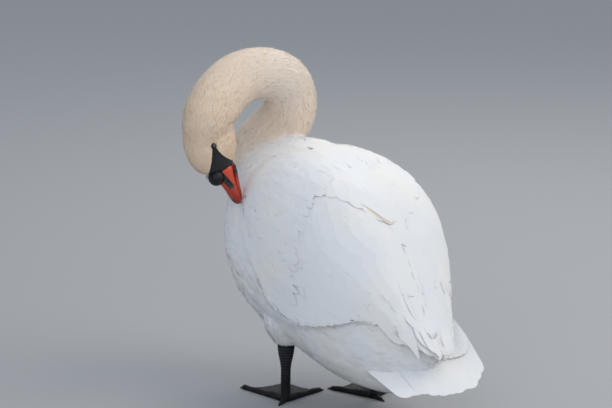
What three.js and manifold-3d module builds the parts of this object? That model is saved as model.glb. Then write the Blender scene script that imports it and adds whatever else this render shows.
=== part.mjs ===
import * as THREE from 'three';
import { mergeVertices } from 'three/addons/utils/BufferGeometryUtils.js';
import Module from 'manifold-3d';

const wasm = await Module();
wasm.setup();

// A mute swan stands and preens over its left shoulder. Millimetres.
// +X is the bird's left, +Y points from breast to tail, +Z is up, and the soles are on Z = 0.
// Sizes and places are given from the body's middle plane, X = 0; the last lines centre the whole.

// ---- Driving dimensions ----
const gap = 0.3;                  // clearance between neighbouring pieces

// Trunk: [y, value] stations. The first and last ones are the breast and rump poles.
const breastY = -260;
const rumpY = 350;
const breastZ = 374;
const rumpZ = 160;
const backLine = [[breastY, breastZ], [-242, 415], [-186, 470], [-115, 510], [-40, 518], [60, 495],
  [150, 461], [230, 400], [290, 303], [330, 220], [rumpY, rumpZ]];
const bellyLine = [[breastY, breastZ], [-254, 328], [-232, 266], [-192, 206], [-140, 158], [-80, 125],
  [0, 102], [80, 78], [160, 58], [230, 56], [290, 72], [330, 100], [rumpY, rumpZ]];
const flankLine = [[breastY, breastZ], [-150, 312], [0, 276], [150, 235], [280, 190], [rumpY, rumpZ]];
const trunkHalfWidth = [[breastY, 0], [-248, 34], [-226, 62], [-196, 93], [-150, 127], [-80, 154],
  [20, 161], [110, 158], [190, 142], [260, 111], [315, 69], [rumpY, 0]];

// Folded wing: a plate that hugs a shell just outside the trunk, arched a little above the back.
const wingFrontY = -120;
const wingTipY = 380;
const shellTop = [[wingFrontY, 480], [-40, 510], [60, 514], [130, 506], [180, 486], [240, 426],
  [300, 318], [345, 225], [wingTipY, 168]];
const shellMiddle = [[wingFrontY, 330], [0, 286], [120, 256], [240, 222], [wingTipY, 150]];
const shellHalfWidth = [[wingFrontY, 122], [-40, 162], [60, 175], [150, 171], [200, 158], [250, 129],
  [300, 88], [345, 58], [wingTipY, 26]];
const grooveDepth = 26;
const grooveAngle = 0.42;
const grooveStart = [-20, 160];   // the groove between the wings deepens over these Y
const wingScallop = 0.014;
const wingRearFeathers = 7;
const lowerFeatherReach = 0.9;
const archSquareness = 0.8;
const wingThickness = 15;
const wingFill = 24;              // how much further the wing reaches in, to lie against the trunk
const vaneThickness = 2.4;

// Neck: centre line points from breast to nape, each with the feathered neck's two half widths.
// The neck's end, inside the head, is in the head's axes.
const neckRoute = [[0, -120, 310, 84, 84], [0, -176, 378, 76, 80], [4, -216, 440, 67, 70],
  [-20, -187, 500, 57, 58], [-33, -146, 556, 53, 53], [-9, -129, 618, 51, 51], [48, -129, 645, 51, 51],
  [111, -133, 638, 52, 51], [161, -127, 607, 54, 51], [189, -121, 566, 56, 46]];
const neckEnd = [0, 0, -15, 57, 38];
const neckParts = ['neck_base', 'neck_lower', 'neck_arch', 'neck_upper'];
const neckCuts = [0, 0.42, 0.59, 0.79, 1];

// Head: its own axes are like the bird's, -Y along the bill and +Z to the crown; origin between the eyes.
const headPlace = new THREE.Vector3(196, -117, 512);
const billDirection = new THREE.Vector3(-0.333, 0.296, -0.896);
const crownDirection = new THREE.Vector3(0.926, -0.078, -0.37);
const headCutY = 28;
const headFrontY = -57;
const headBackY = 110;
const crownLine = [[headFrontY, -6], [-53, 12], [-42, 32], [-22, 45], [0, 47], [headCutY, 41], [60, 36],
  [headBackY, 0]];
const chinLine = [[headFrontY, -6], [-54, -26], [-42, -44], [-22, -58], [0, -66], [headCutY, -71], [60, -66],
  [headBackY, 0]];
const cheekLine = [[headFrontY, -6], [-30, -8], [0, -12], [40, -14], [headBackY, 0]];
const headHalfWidth = [[headFrontY, 0], [-53, 13], [-40, 20], [-20, 30], [0, 36], [headCutY, 41], [60, 40],
  [headBackY, 0]];
const eyeRadius = 6.5;
const eyeSide = 31.5;
const eyeHeight = 0;
const eyeBack = 3;

// Bill, along -Y in the head's axes.
const billBack = -40;
const billTip = -128;
const culmenLine = [[billTip, -7], [-124, -1], [-108, 4], [-90, 6], [-72, 11], [-56, 13], [billBack, -9]];
const tomiumLine = [[billTip, -7], [-124, -12], [-108, -15], [-90, -18], [-70, -24], [-54, -29],
  [billBack, -9]];
const billHalfWidth = [[billTip, 0], [-123, 12], [-112, 16.5], [-96, 16], [-76, 15], [-56, 16],
  [billBack, 0]];
const jawTip = -124;
const jawLine = [[jawTip, -13], [-116, -19], [-90, -26], [-70, -33], [-54, -36], [billBack, -21]];
const jawHalfWidth = [[jawTip, 0], [-118, 10], [-96, 13], [-70, 13], [-54, 13], [billBack, 0]];
const jawDepth = 12;
const knobRadius = 16.5;
const knobPlace = new THREE.Vector3(0, -60, 12);

// Tail: a fan of overlapping feathers, laid as one scalloped plate.
// Roots and tips of the tail's fan, from its left edge round to its right one.
const tailRoots = [[93, 232, 146], [60, 236, 172], [0, 246, 186], [-60, 262, 190], [-88, 296, 196]];
const tailTips = [[84, 340, 98], [58, 374, 90], [15, 394, 81], [-31, 396, 77], [-70, 388, 86],
  [-102, 374, 114]];
const tailDome = 14;
const tailFeathers = 9;
const tailScallop = 0.05;         // depth of the notches between tips, as a share of the length
const tailRootThickness = 18;

// Legs: each foot's ankle, the point where the leg enters the feathers, and the middle toe's heading.
const ankleRise = 9;
const legs = {
  left: { ankle: [97, 7], knee: [96, 8, 121], heading: -0.66 },
  right: { ankle: [-60, 95], knee: [-62, 80, 84], heading: -0.45 },
};
const thighRise = 62;
const shankRadius = smoothThrough([[0, 11], [0.15, 9.6], [0.5, 9.8], [0.66, 11.5], [0.82, 16.2], [1, 16.8]]);
const thighRadius = smoothThrough([[0, 19], [0.3, 33], [0.75, 45], [1, 42]]);
const toeLengths = [126, 138, 103];
const toeSpread = 0.74;
const hindToeLength = 25;
const hindToeTurn = 0.4;
const toeHalfWidths = [8.5, 5];   // at the ankle and at the claw
const hindToeHalfWidths = [6.5, 4];
const clawHalfWidths = [4, 0.9];
const clawLength = 11;
const webThickness = 2.6;
const webBay = 0.2;               // how far the web's edge curves in, as a share of the toe

// ---- Colours ----
const finishes = {
  plumage: new THREE.MeshStandardMaterial({ color: 0xf2f2f0, roughness: 0.9, metalness: 0 }),
  buff: new THREE.MeshStandardMaterial({ color: 0xe8dcc6, roughness: 0.9, metalness: 0 }),
  orange: new THREE.MeshStandardMaterial({ color: 0xd8532a, roughness: 0.45, metalness: 0 }),
  black: new THREE.MeshStandardMaterial({ color: 0x16161a, roughness: 0.5, metalness: 0 }),
  eye: new THREE.MeshStandardMaterial({ color: 0x120c08, roughness: 0.1, metalness: 0 }),
  leg: new THREE.MeshStandardMaterial({ color: 0x26272b, roughness: 0.6, metalness: 0 }),
};

// ---- Helpers ----
const { PI, sin, cos, sqrt, abs, acos, atan2, min, max, exp, sign } = Math;
const mix = (a, b, t) => a + (b - a) * t;
const clamp01 = (t) => min(1, max(0, t));
const easeStep = (a, b, t) => THREE.MathUtils.smoothstep(t, a, b);

// Turns [station, value] pairs into a smooth function of 0..1 that rounds off at both poles.
function roundedProfile(pairs) {
  const first = pairs[0][0];
  const length = pairs.at(-1)[0] - first;
  const turnAt = (at) => acos(1 - 2 * clamp01((at - first) / length)) / PI;
  return smoothThrough(pairs.map(([at, value]) => [turnAt(at), value]));
}

// Monotone cubic interpolation through [x, value] pairs.
function smoothThrough(spots) {
  const slopes = spots.slice(1).map(([x, value], i) => (value - spots[i][1]) / (x - spots[i][0]));
  const tangents = spots.map((_, i) => {
    const before = slopes[i - 1] ?? slopes[i];
    const after = slopes[i] ?? slopes[i - 1];
    return before * after <= 0 ? 0 : 2 * before * after / (before + after);
  });
  tangents[0] = slopes[0];
  tangents[spots.length - 1] = slopes.at(-1);
  return (x) => {
    let i = 0;
    while (i < spots.length - 2 && x > spots[i + 1][0]) i += 1;
    const [x0, v0] = spots[i];
    const [x1, v1] = spots[i + 1];
    const width = x1 - x0;
    const t = clamp01((x - x0) / width);
    const t2 = t * t;
    const t3 = t2 * t;
    return v0 * (2 * t3 - 3 * t2 + 1) + tangents[i] * width * (t3 - 2 * t2 + t)
      + v1 * (3 * t2 - 2 * t3) + tangents[i + 1] * width * (t3 - t2);
  };
}

const weldDistance = 1e-4;

// Moves every vertex of a closed geometry through a function and welds the result.
function reshape(geometry, place) {
  const shaped = geometry.clone();
  shaped.deleteAttribute('normal');
  shaped.deleteAttribute('uv');
  const spots = shaped.attributes.position;
  for (let i = 0; i < spots.count; i += 1) {
    const spot = place(spots.getX(i), spots.getY(i), spots.getZ(i));
    spots.setXYZ(i, spot.x, spot.y, spot.z);
  }
  return outward(mergeVertices(shaped, weldDistance));
}

const weld = (geometry) => reshape(geometry, (x, y, z) => new THREE.Vector3(x, y, z));

function signedVolume(geometry) {
  const spots = geometry.attributes.position;
  const order = geometry.index.array;
  const corner = [new THREE.Vector3(), new THREE.Vector3(), new THREE.Vector3()];
  let volume = 0;
  for (let i = 0; i < order.length; i += 3) {
    corner.forEach((v, k) => v.fromBufferAttribute(spots, order[i + k]));
    volume += corner[0].dot(corner[1].clone().cross(corner[2])) / 6;
  }
  return volume;
}

// Turns the faces round if they point inwards.
function outward(geometry) {
  if (signedVolume(geometry) < 0) geometry.index.array.reverse();
  return geometry;
}

function toSolid(geometry) {
  const spots = geometry.attributes.position.array;
  return new wasm.Manifold(new wasm.Mesh({
    numProp: 3,
    vertProperties: Float32Array.from(spots),
    triVerts: Uint32Array.from(geometry.index.array),
  }));
}

function toGeometry(solid) {
  const mesh = solid.getMesh();
  const geometry = new THREE.BufferGeometry();
  geometry.setAttribute('position', new THREE.BufferAttribute(mesh.vertProperties, 3));
  geometry.setIndex(new THREE.BufferAttribute(mesh.triVerts, 1));
  return geometry;
}

function cutBy(geometry, ...tools) {
  return toGeometry(tools.reduce((solid, tool) => solid.subtract(toSolid(tool)), toSolid(geometry)));
}

function joined(first, ...others) {
  return toGeometry(others.reduce((solid, piece) => solid.add(toSolid(piece)), toSolid(first)));
}

// A closed body lofted along Y: each ring follows the top, bottom, widest height and half width.
function loft(lines, sides, rings, grow = 0) {
  const top = roundedProfile(lines.top);
  const bottom = roundedProfile(lines.bottom);
  const middle = roundedProfile(lines.middle);
  const half = roundedProfile(lines.half);
  const from = lines.top[0][0];
  const to = lines.top.at(-1)[0];
  return reshape(new THREE.SphereGeometry(1, sides, rings), (a, b, c) => {
    const turn = acos(THREE.MathUtils.clamp(b, -1, 1));
    const along = turn / PI;
    const around = atan2(c, -a);
    const rise = cos(around);
    const level = middle(along);
    const reach = rise > 0 ? top(along) - level : level - bottom(along);
    const swell = grow * sin(turn);
    return new THREE.Vector3(
      (half(along) + swell) * sin(around),
      mix(from, to, (1 - cos(turn)) / 2) - grow * cos(turn),
      level + (reach + swell) * rise,
    );
  });
}

// A tube along a curve, with flat ends, whose two half widths follow functions of 0..1.
function tube(curve, radiusAt, from, to, sides, rings, depthAt = radiusAt) {
  const side = new THREE.Vector3();
  return reshape(new THREE.CylinderGeometry(1, 1, 1, sides, rings), (a, b, c) => {
    const at = mix(from, to, b + 0.5);
    const tangent = curve.getTangentAt(at);
    side.crossVectors(tangent, new THREE.Vector3(0, 1, 0)).normalize();
    const other = new THREE.Vector3().crossVectors(tangent, side);
    const centre = curve.getPointAt(at);
    return centre.addScaledVector(side, a * radiusAt(at)).addScaledVector(other, c * depthAt(at));
  });
}

// A thin closed plate over a surface(u, v): outer(u, v) and inner(u, v) are its depths to either side.
function plate(surface, outer, inner, across, along) {
  const step = 1e-3;
  return reshape(new THREE.BoxGeometry(1, 1, 1, across, along, 1), (a, b, c) => {
    const [u, v] = [a + 0.5, b + 0.5];
    const alongU = surface(clamp01(u + step), v).sub(surface(clamp01(u - step), v));
    const alongV = surface(u, clamp01(v + step)).sub(surface(u, clamp01(v - step)));
    const normal = alongU.cross(alongV).normalize();
    return surface(u, v).addScaledVector(normal, c > 0 ? outer(u, v) : -inner(u, v));
  });
}

function mesh(name, geometry, material) {
  const piece = new THREE.Mesh(geometry, material);
  piece.name = name;
  return piece;
}

// ---- Trunk ----
function trunkGeometry(grow = 0) {
  const lines = { top: backLine, bottom: bellyLine, middle: flankLine, half: trunkHalfWidth };
  return loft(lines, 26, 24, grow);
}

// ---- Folded wings ----
const shellHeight = smoothThrough(shellTop);
const shellLevel = smoothThrough(shellMiddle);
const shellWidth = smoothThrough(shellHalfWidth);

// Angle from the top of the back down to the wing's edges, along its length.
const upperEdge = smoothThrough([[wingFrontY, 0.9], [-40, 0.4], [60, 0.12], [300, 0.06], [wingTipY, 0.04]]);
const lowerEdge = smoothThrough([[wingFrontY, 1.0], [-60, 1.28], [0, 1.54], [45, 1.67], [115, 1.72],
  [200, 1.65], [300, 1.47], [wingTipY, 1.3]]);

// Feather tips make the rear edge a row of scallops, and the lower feathers end a little short.
function wingSurface(side) {
  return (u, v) => {
    const scallop = wingScallop * abs(sin(v * PI * wingRearFeathers));
    const reachBack = mix(lowerFeatherReach, 1, easeStep(0, 0.7, v)) + scallop;
    const y = mix(wingFrontY, wingTipY, u * reachBack);
    const angle = mix(lowerEdge(y), upperEdge(y), v);
    const level = shellLevel(y);
    const rise = sign(cos(angle)) * abs(cos(angle)) ** archSquareness;
    const groove = grooveDepth * exp(-((angle / grooveAngle) ** 2)) * easeStep(...grooveStart, y);
    return new THREE.Vector3(
      side * shellWidth(y) * sin(angle),
      y,
      level + (shellHeight(y) - level) * rise - groove,
    );
  };
}

function wingGeometry(side, grow = 0) {
  const fleshed = (u, v, depth) => {
    const rounding = sqrt(sin(PI * v) * min(1, u * 6 + 0.02));
    return vaneThickness / 2 + grow + depth * rounding * (1 - easeStep(0.35, 0.95, u));
  };
  const outer = (u, v) => fleshed(u, v, wingThickness / 2);
  const inner = (u, v) => fleshed(u, v, wingThickness / 2 + wingFill);
  const faces = side > 0 ? [outer, inner] : [inner, outer];
  const wing = plate(wingSurface(side), ...faces, 20, 9);
  const size = 1200;
  const farSide = new THREE.BoxGeometry(size, size, size).translate(-side * ((size - gap) / 2 + grow), 0, 0);
  return cutBy(wing, weld(farSide));
}

// ---- Tail ----
const curveThrough = (spots) => new THREE.CatmullRomCurve3(spots.map((spot) => new THREE.Vector3(...spot)));

function tailGeometry() {
  const [roots, tips] = [curveThrough(tailRoots), curveThrough(tailTips)];
  const surface = (u, v) => {
    const notch = tailScallop * (1 - abs(sin(PI * tailFeathers * v)));
    const spot = roots.getPoint(v).lerp(tips.getPoint(v), u * (1.01 - notch));
    spot.z += tailDome * sin(PI * u) * sin(PI * v);
    return spot;
  };
  const half = (u, v) => {
    return (vaneThickness + tailRootThickness * sqrt(clamp01(sin(PI * v))) * (1 - easeStep(0, 0.7, u))) / 2;
  };
  return plate(surface, half, half, 4, 4 * tailFeathers);
}

// ---- Neck ----
const headFrame = headMatrix();
const endPlace = new THREE.Vector3(...neckEnd.slice(0, 3)).applyMatrix4(headFrame);
const neckSpots = [...neckRoute, [...endPlace, ...neckEnd.slice(3)]];
const neckCurve = new THREE.CatmullRomCurve3(neckSpots.map(([x, y, z]) => new THREE.Vector3(x, y, z)));
const [neckRadius, neckDepth] = [3, 4].map((column) => {
  const byKnot = smoothThrough(neckSpots.map((spot, i) => [i / (neckSpots.length - 1), spot[column]]));
  return (at) => byKnot(neckCurve.getUtoTmapping(at));
});

function neckGeometry(index) {
  const half = gap / 2 / neckCurve.getLength();
  const [from, to] = [neckCuts[index] + half, neckCuts[index + 1] - half];
  return tube(neckCurve, neckRadius, from, to, 18, 7, neckDepth);
}

// ---- Head ----
function headMatrix() {
  const back = billDirection.clone().normalize().negate();
  const left = crownDirection.clone().cross(billDirection).normalize();
  const crown = left.clone().cross(back).normalize();
  return new THREE.Matrix4().makeBasis(left, back, crown).setPosition(headPlace);
}

// A block of space on the bill's side of the plane between head and neck, or behind it.
function headSideOf(y, way = 1) {
  const size = 2 * headBackY;
  return weld(new THREE.BoxGeometry(size, size, size).translate(0, y - way * size / 2, 0));
}

function headGeometry(grow = 0) {
  return loft({ top: crownLine, bottom: chinLine, middle: cheekLine, half: headHalfWidth }, 20, 17, grow);
}

function upperBillGeometry(grow = 0) {
  const middle = culmenLine.map(([y, z], i) => [y, mix(z, tomiumLine[i][1], 0.62)]);
  return loft({ top: culmenLine, bottom: tomiumLine, middle, half: billHalfWidth }, 18, 14, grow);
}

// The lower mandible's top is hidden in the upper one, which cuts it to the line of the mouth.
function lowerBillGeometry() {
  const raised = (rise) => jawLine.map(([y, z], i) => [y, i % (jawLine.length - 1) ? z + rise : z]);
  const lines = { top: raised(jawDepth), bottom: jawLine, middle: raised(jawDepth / 2), half: jawHalfWidth };
  return loft(lines, 12, 10);
}

const eyePlace = (side) => new THREE.Vector3(side * eyeSide, eyeBack, eyeHeight);
const ball = (radius, place) => {
  return weld(new THREE.SphereGeometry(radius, 12, 8).translate(...place));
};

function buildHead() {
  const head = new THREE.Group();
  head.matrixAutoUpdate = false;
  head.matrix.copy(headFrame);

  const behind = headSideOf(headCutY, -1);
  const knobRoom = ball(knobRadius + gap, knobPlace);
  const sockets = [1, -1].map((side) => ball(eyeRadius + gap, eyePlace(side)));
  const upper = cutBy(upperBillGeometry(), headGeometry(gap), knobRoom);
  const lower = cutBy(lowerBillGeometry(), upperBillGeometry(gap), headGeometry(gap));
  head.add(
    mesh('head', cutBy(headGeometry(), behind, knobRoom, ...sockets), finishes.buff),
    mesh('bill_upper', upper, finishes.orange),
    mesh('bill_lower', lower, finishes.orange),
    mesh('bill_knob', ball(knobRadius, knobPlace), finishes.black),
    mesh('eye_left', ball(eyeRadius, eyePlace(1)), finishes.eye),
    mesh('eye_right', ball(eyeRadius, eyePlace(-1)), finishes.eye),
  );
  head.updateMatrixWorld(true);
  return head;
}

// ---- Legs ----
// The shank's axis runs a little past the knee, where its end is trimmed level.
function legCurve({ ankle, knee }) {
  const foot = new THREE.Vector3(...ankle, ankleRise);
  const pastKnee = 1.06;
  return new THREE.LineCurve3(foot, foot.clone().lerp(new THREE.Vector3(...knee), pastKnee));
}


function shankGeometry(leg, foot) {
  const size = 100;
  const [x, y, z] = leg.knee;
  const above = new THREE.BoxGeometry(size, size, size).translate(x, y, z + size / 2);
  return cutBy(tube(legCurve(leg), shankRadius, 0, 1, 10, 8), grownFoot(foot), weld(above));
}

function thighGeometry({ knee }, trunk) {
  const [x, y, z] = knee;
  const [from, to] = [z + gap, z + thighRise].map((height) => new THREE.Vector3(x, y, height));
  return cutBy(tube(new THREE.LineCurve3(from, to), thighRadius, 0, 1, 16, 5), trunk);
}

// Toe tips from the outer toe to the inner one, then the hind toe's, on the ground.
function toeTips({ ankle, heading }, side) {
  const turns = toeLengths.map((length, i) => [heading + (1 - i) * toeSpread * side, length]);
  turns.push([heading + PI - hindToeTurn * side, hindToeLength]);
  return turns.map(([turn, length]) => {
    return new THREE.Vector3(ankle[0] + length * sin(turn), ankle[1] - length * cos(turn), 0);
  });
}

// Toes lie flat on the ground from the ankle; webs fill the two spans between the front three.
function footGeometry({ ankle }, tips) {
  const heel = new THREE.Vector3(...ankle, 0);
  const toes = tips.map((tip, i) => digitGeometry(heel, tip, i < 3 ? toeHalfWidths : hindToeHalfWidths));
  return joined(...toes, webGeometry(heel, tips.slice(0, 3)));
}

// A tapered, slightly knuckled digit with a flat sole.
function digitGeometry(from, to, [thick, thin]) {
  const across = new THREE.Vector3(from.y - to.y, to.x - from.x, 0).normalize();
  return reshape(new THREE.CylinderGeometry(1, 1, 1, 8, 4), (a, b, c) => {
    const at = b + 0.5;
    const radius = mix(thick, thin, at) * (1 + 0.08 * cos(at * PI * 6));
    const spot = from.clone().lerp(to, at).addScaledVector(across, a * radius);
    return spot.setZ(max(0, radius * 0.7 + c * radius));
  });
}

function clawGeometry(heel, tip) {
  const direction = tip.clone().sub(heel).normalize();
  const root = tip.clone().addScaledVector(direction, gap);
  return digitGeometry(root, root.clone().addScaledVector(direction, clawLength), clawHalfWidths);
}

function webGeometry(heel, tips) {
  const outline = new THREE.Shape();
  outline.moveTo(heel.x, heel.y);
  outline.lineTo(tips[0].x, tips[0].y);
  tips.slice(1).forEach((tip, i) => {
    const bay = tips[i].clone().add(tip).multiplyScalar(0.5).lerp(heel, webBay);
    outline.quadraticCurveTo(bay.x, bay.y, tip.x, tip.y);
  });
  outline.closePath();
  const steps = { depth: webThickness, bevelEnabled: false, curveSegments: 5 };
  return weld(new THREE.ExtrudeGeometry(outline, steps));
}

function buildLeg(name, side, trunk) {
  const leg = legs[name];
  const tips = toeTips(leg, side);
  const heel = new THREE.Vector3(...leg.ankle, 0);
  const foot = footGeometry(leg, tips);
  const claws = tips.map((tip, i) => {
    return mesh(`claw_${name}_${i + 1}`, clawGeometry(heel, tip), finishes.black);
  });
  return [
    mesh(`thigh_${name}`, thighGeometry(leg, trunk), finishes.plumage),
    mesh(`shank_${name}`, shankGeometry(leg, foot), finishes.leg),
    mesh(`foot_${name}`, foot, finishes.leg),
    ...claws,
  ];
}

// The same foot raised by the clearance, used to trim the shank's lower end.
function grownFoot(geometry) {
  return reshape(geometry, (x, y, z) => new THREE.Vector3(x, y, z > 1 ? z + gap : z - 1));
}

// ---- Assembly ----
const swan = new THREE.Group();
const trunk = trunkGeometry();
const trunkRoom = trunkGeometry(gap);
const wingRooms = [1, -1].map((side) => wingGeometry(side, gap));
const head = buildHead();
const headRoom = headSideOf(headCutY + gap).applyMatrix4(headFrame);
swan.add(mesh('trunk', trunk, finishes.plumage), head);
for (const [name, side] of [['wing_left', 1], ['wing_right', -1]]) {
  swan.add(mesh(name, cutBy(wingGeometry(side), trunkRoom), finishes.plumage));
}
swan.add(mesh('tail', cutBy(tailGeometry(), trunkRoom, ...wingRooms), finishes.plumage));
neckParts.forEach((name, i) => {
  const tools = { neck_base: [trunkRoom], neck_lower: [trunkRoom], neck_upper: [headRoom] }[name] ?? [];
  swan.add(mesh(name, tools.length ? cutBy(neckGeometry(i), ...tools) : neckGeometry(i), finishes.buff));
});
swan.add(...buildLeg('left', 1, trunkRoom), ...buildLeg('right', -1, trunkRoom));

// The origin is the middle of the base of the whole swan's box.
const middle = new THREE.Box3().setFromObject(swan, true).getCenter(new THREE.Vector3());
swan.position.set(-middle.x, -middle.y, 0);

export default swan;
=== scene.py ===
import math
from functools import partialmethod

import bmesh
import bpy
import numpy as np
from mathutils import Matrix, Vector
from mathutils.bvhtree import BVHTree
from mathutils.kdtree import KDTree


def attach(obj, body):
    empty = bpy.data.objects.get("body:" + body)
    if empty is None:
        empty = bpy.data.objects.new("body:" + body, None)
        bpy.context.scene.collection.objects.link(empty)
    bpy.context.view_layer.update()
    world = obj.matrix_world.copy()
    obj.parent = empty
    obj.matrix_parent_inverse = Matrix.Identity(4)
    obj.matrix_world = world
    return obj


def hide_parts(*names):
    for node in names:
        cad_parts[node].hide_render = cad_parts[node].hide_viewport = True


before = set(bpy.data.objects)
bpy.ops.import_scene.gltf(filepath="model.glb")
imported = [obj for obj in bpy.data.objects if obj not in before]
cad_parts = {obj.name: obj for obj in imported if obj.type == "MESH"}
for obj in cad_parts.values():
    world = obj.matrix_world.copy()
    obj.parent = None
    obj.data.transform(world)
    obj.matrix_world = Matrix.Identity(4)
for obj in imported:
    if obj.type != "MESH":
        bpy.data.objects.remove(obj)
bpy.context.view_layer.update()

rng = np.random.default_rng(11)

# A mute swan stands and preens over its left shoulder. Places are given in millimetres from the
# bird's middle plane and soles (+X its left, +Y from breast to tail) and moved to the frame's origin.
middlePlane = np.array([28.6925, 57.1481, 0.0])


# millimetres from the bird's middle plane to metres in the shared frame
def place(spots):
    return (np.asarray(spots, float) - middlePlane) * 0.001


def unit(vectors):
    return vectors / np.maximum(np.linalg.norm(vectors, axis=-1, keepdims=True), 1e-12)


def easeStep(low, high, value):
    t = np.clip((value - low) / (high - low), 0, 1)
    return t * t * (3 - 2 * t)


# a curve through (place, value) pairs that never overshoots them
def smoothThrough(pairs):
    at, value = np.array(pairs, float).T
    slope = np.diff(value) / np.diff(at)
    product = slope[:-1] * slope[1:]
    inner = np.where(product > 0, 2 * product / np.where(product > 0, slope[:-1] + slope[1:], 1), 0)
    tangent = np.concatenate([slope[:1], inner, slope[-1:]])

    def curve(x):
        x = np.clip(x, at[0], at[-1])
        i = np.clip(np.searchsorted(at, x, side="right") - 1, 0, len(at) - 2)
        width = at[i + 1] - at[i]
        t = (x - at[i]) / width
        return (value[i] * (2 * t**3 - 3 * t**2 + 1) + tangent[i] * width * (t**3 - 2 * t**2 + t)
                + value[i + 1] * (3 * t**2 - 2 * t**3) + tangent[i + 1] * width * (t**3 - t**2))
    return curve


# Camera, stage and light
cameraSet = {"target": (24.4, -19.1, 392), "azimuth": 142, "elevation": 13, "distance": 7.0, "lens": 205.9,
             "sensor": 36}
lightSet = {
    "key": {"turn": 75, "rise": 48, "away": 3.2, "size": 2.6, "power": 34, "colour": (1.0, 0.945, 0.87)},
    "fill": {"turn": -8, "rise": 22, "away": 3.8, "size": 2.6, "power": 26, "colour": (0.80, 0.88, 1.0)},
    "rim": {"turn": 165, "rise": 42, "away": 3.0, "size": 1.6, "power": 21, "colour": (1.0, 0.96, 0.92)},
}
worldSet = {"colour": (0.82, 0.88, 0.97), "strength": 0.62}


def lookBack(turn, rise):
    a, e = math.radians(turn), math.radians(rise)
    return Vector((math.sin(a) * math.cos(e), -math.cos(a) * math.cos(e), math.sin(e)))


def aim(thing, back):
    thing.rotation_euler = (-back).to_track_quat("-Z", "Y").to_euler()


def linked(name, data):
    made = bpy.data.objects.new(name, data)
    scene.collection.objects.link(made)
    return made


scene = bpy.context.scene
target = Vector(place(cameraSet["target"]))
cameraData = bpy.data.cameras.new("camera")
cameraData.lens = cameraSet["lens"]
cameraData.sensor_width = cameraSet["sensor"]
cameraObject = linked("camera", cameraData)
cameraBack = lookBack(cameraSet["azimuth"], cameraSet["elevation"])
cameraObject.location = target + cameraBack * cameraSet["distance"]
aim(cameraObject, cameraBack)
scene.camera = cameraObject

for name, item in lightSet.items():
    lamp = bpy.data.lights.new(name, "AREA")
    lamp.shape = "DISK"
    lamp.size = item["size"]
    lamp.energy = item["power"]
    lamp.color = item["colour"]
    lampObject = linked(name, lamp)
    back = lookBack(cameraSet["azimuth"] + item["turn"], item["rise"])
    lampObject.location = target + back * item["away"]
    aim(lampObject, back)

world = bpy.data.worlds.new("studio")
world.use_nodes = True
sky = world.node_tree.nodes["Background"]
sky.inputs["Color"].default_value = (*worldSet["colour"], 1)
sky.inputs["Strength"].default_value = worldSet["strength"]
scene.world = world
scene.view_settings.view_transform = "Standard"
print("camera and light")


def newMaterial(name, colour, roughness, sheen=0.0, coat=0.0, specular=0.5):
    material = bpy.data.materials.new(name)
    material.use_nodes = True
    shader = material.node_tree.nodes["Principled BSDF"]
    for key, value in (("Base Color", (*colour, 1)), ("Roughness", roughness), ("Sheen Weight", sheen),
                       ("Coat Weight", coat), ("Specular IOR Level", specular)):
        shader.inputs[key].default_value = value
    return material


# Short calls that add and wire shader nodes; each gives back its result's socket.
class Wiring:
    def __init__(self, material):
        self.tree = material.node_tree
        self.shader = self.tree.nodes["Principled BSDF"]

    def node(self, kind, **settings):
        made = self.tree.nodes.new(kind)
        for key, value in settings.items():
            setattr(made, key, value)
        return made

    def feed(self, socket, value):
        if isinstance(value, bpy.types.NodeSocket):
            self.tree.links.new(value, socket)
        else:
            socket.default_value = value

    def math(self, operation, a, b=0.0, c=0.0, clamp=False):
        made = self.node("ShaderNodeMath", operation=operation, use_clamp=clamp)
        for socket, value in zip(made.inputs, (a, b, c)):
            self.feed(socket, value)
        return made.outputs[0]

    times = partialmethod(math, "MULTIPLY")
    less = partialmethod(math, "SUBTRACT")
    least = partialmethod(math, "MINIMUM")
    most = partialmethod(math, "MAXIMUM")
    both = partialmethod(math, "MULTIPLY_ADD")

    def ramp(self, value, low, high, start=0.0, end=1.0):
        made = self.node("ShaderNodeMapRange", interpolation_type="SMOOTHSTEP")
        for key, given in (("Value", value), ("From Min", low), ("From Max", high), ("To Min", start),
                           ("To Max", end)):
            self.feed(made.inputs[key], given)
        return made.outputs[0]

    def mix(self, factor, a, b, blend="MIX"):
        made = self.node("ShaderNodeMix", data_type="RGBA", blend_type=blend)
        for socket, value in ((made.inputs[0], factor), (made.inputs[6], a), (made.inputs[7], b)):
            self.feed(socket, (*value, 1) if isinstance(value, tuple) else value)
        return made.outputs[2]

    def objectPlace(self, location=(0, 0, 0), rotation=(0, 0, 0)):
        made = self.node("ShaderNodeMapping", vector_type="TEXTURE")
        self.feed(made.inputs["Vector"], self.node("ShaderNodeTexCoord").outputs["Object"])
        made.inputs["Location"].default_value = location
        made.inputs["Rotation"].default_value = rotation
        return made.outputs[0]

    def noise(self, vector, scale, detail=3.0):
        made = self.node("ShaderNodeTexNoise")
        for key, value in (("Vector", vector), ("Scale", scale), ("Detail", detail)):
            self.feed(made.inputs[key], value)
        return made.outputs["Fac"]

    def cells(self, vector, scale):
        made = self.node("ShaderNodeTexVoronoi")
        self.feed(made.inputs["Vector"], vector)
        self.feed(made.inputs["Scale"], scale)
        return made.outputs["Distance"]

    def attribute(self, name):
        return self.node("ShaderNodeAttribute", attribute_name=name).outputs["Fac"]

    def split(self, vector):
        made = self.node("ShaderNodeSeparateXYZ")
        self.feed(made.inputs[0], vector)
        return made.outputs

    def bump(self, height, strength, distance):
        made = self.node("ShaderNodeBump")
        for key, value in (("Height", height), ("Strength", strength), ("Distance", distance)):
            self.feed(made.inputs[key], value)
        self.feed(self.shader.inputs["Normal"], made.outputs[0])

    def colour(self, value):
        self.feed(self.shader.inputs["Base Color"], value)

    def rough(self, value):
        self.feed(self.shader.inputs["Roughness"], value)


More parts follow.
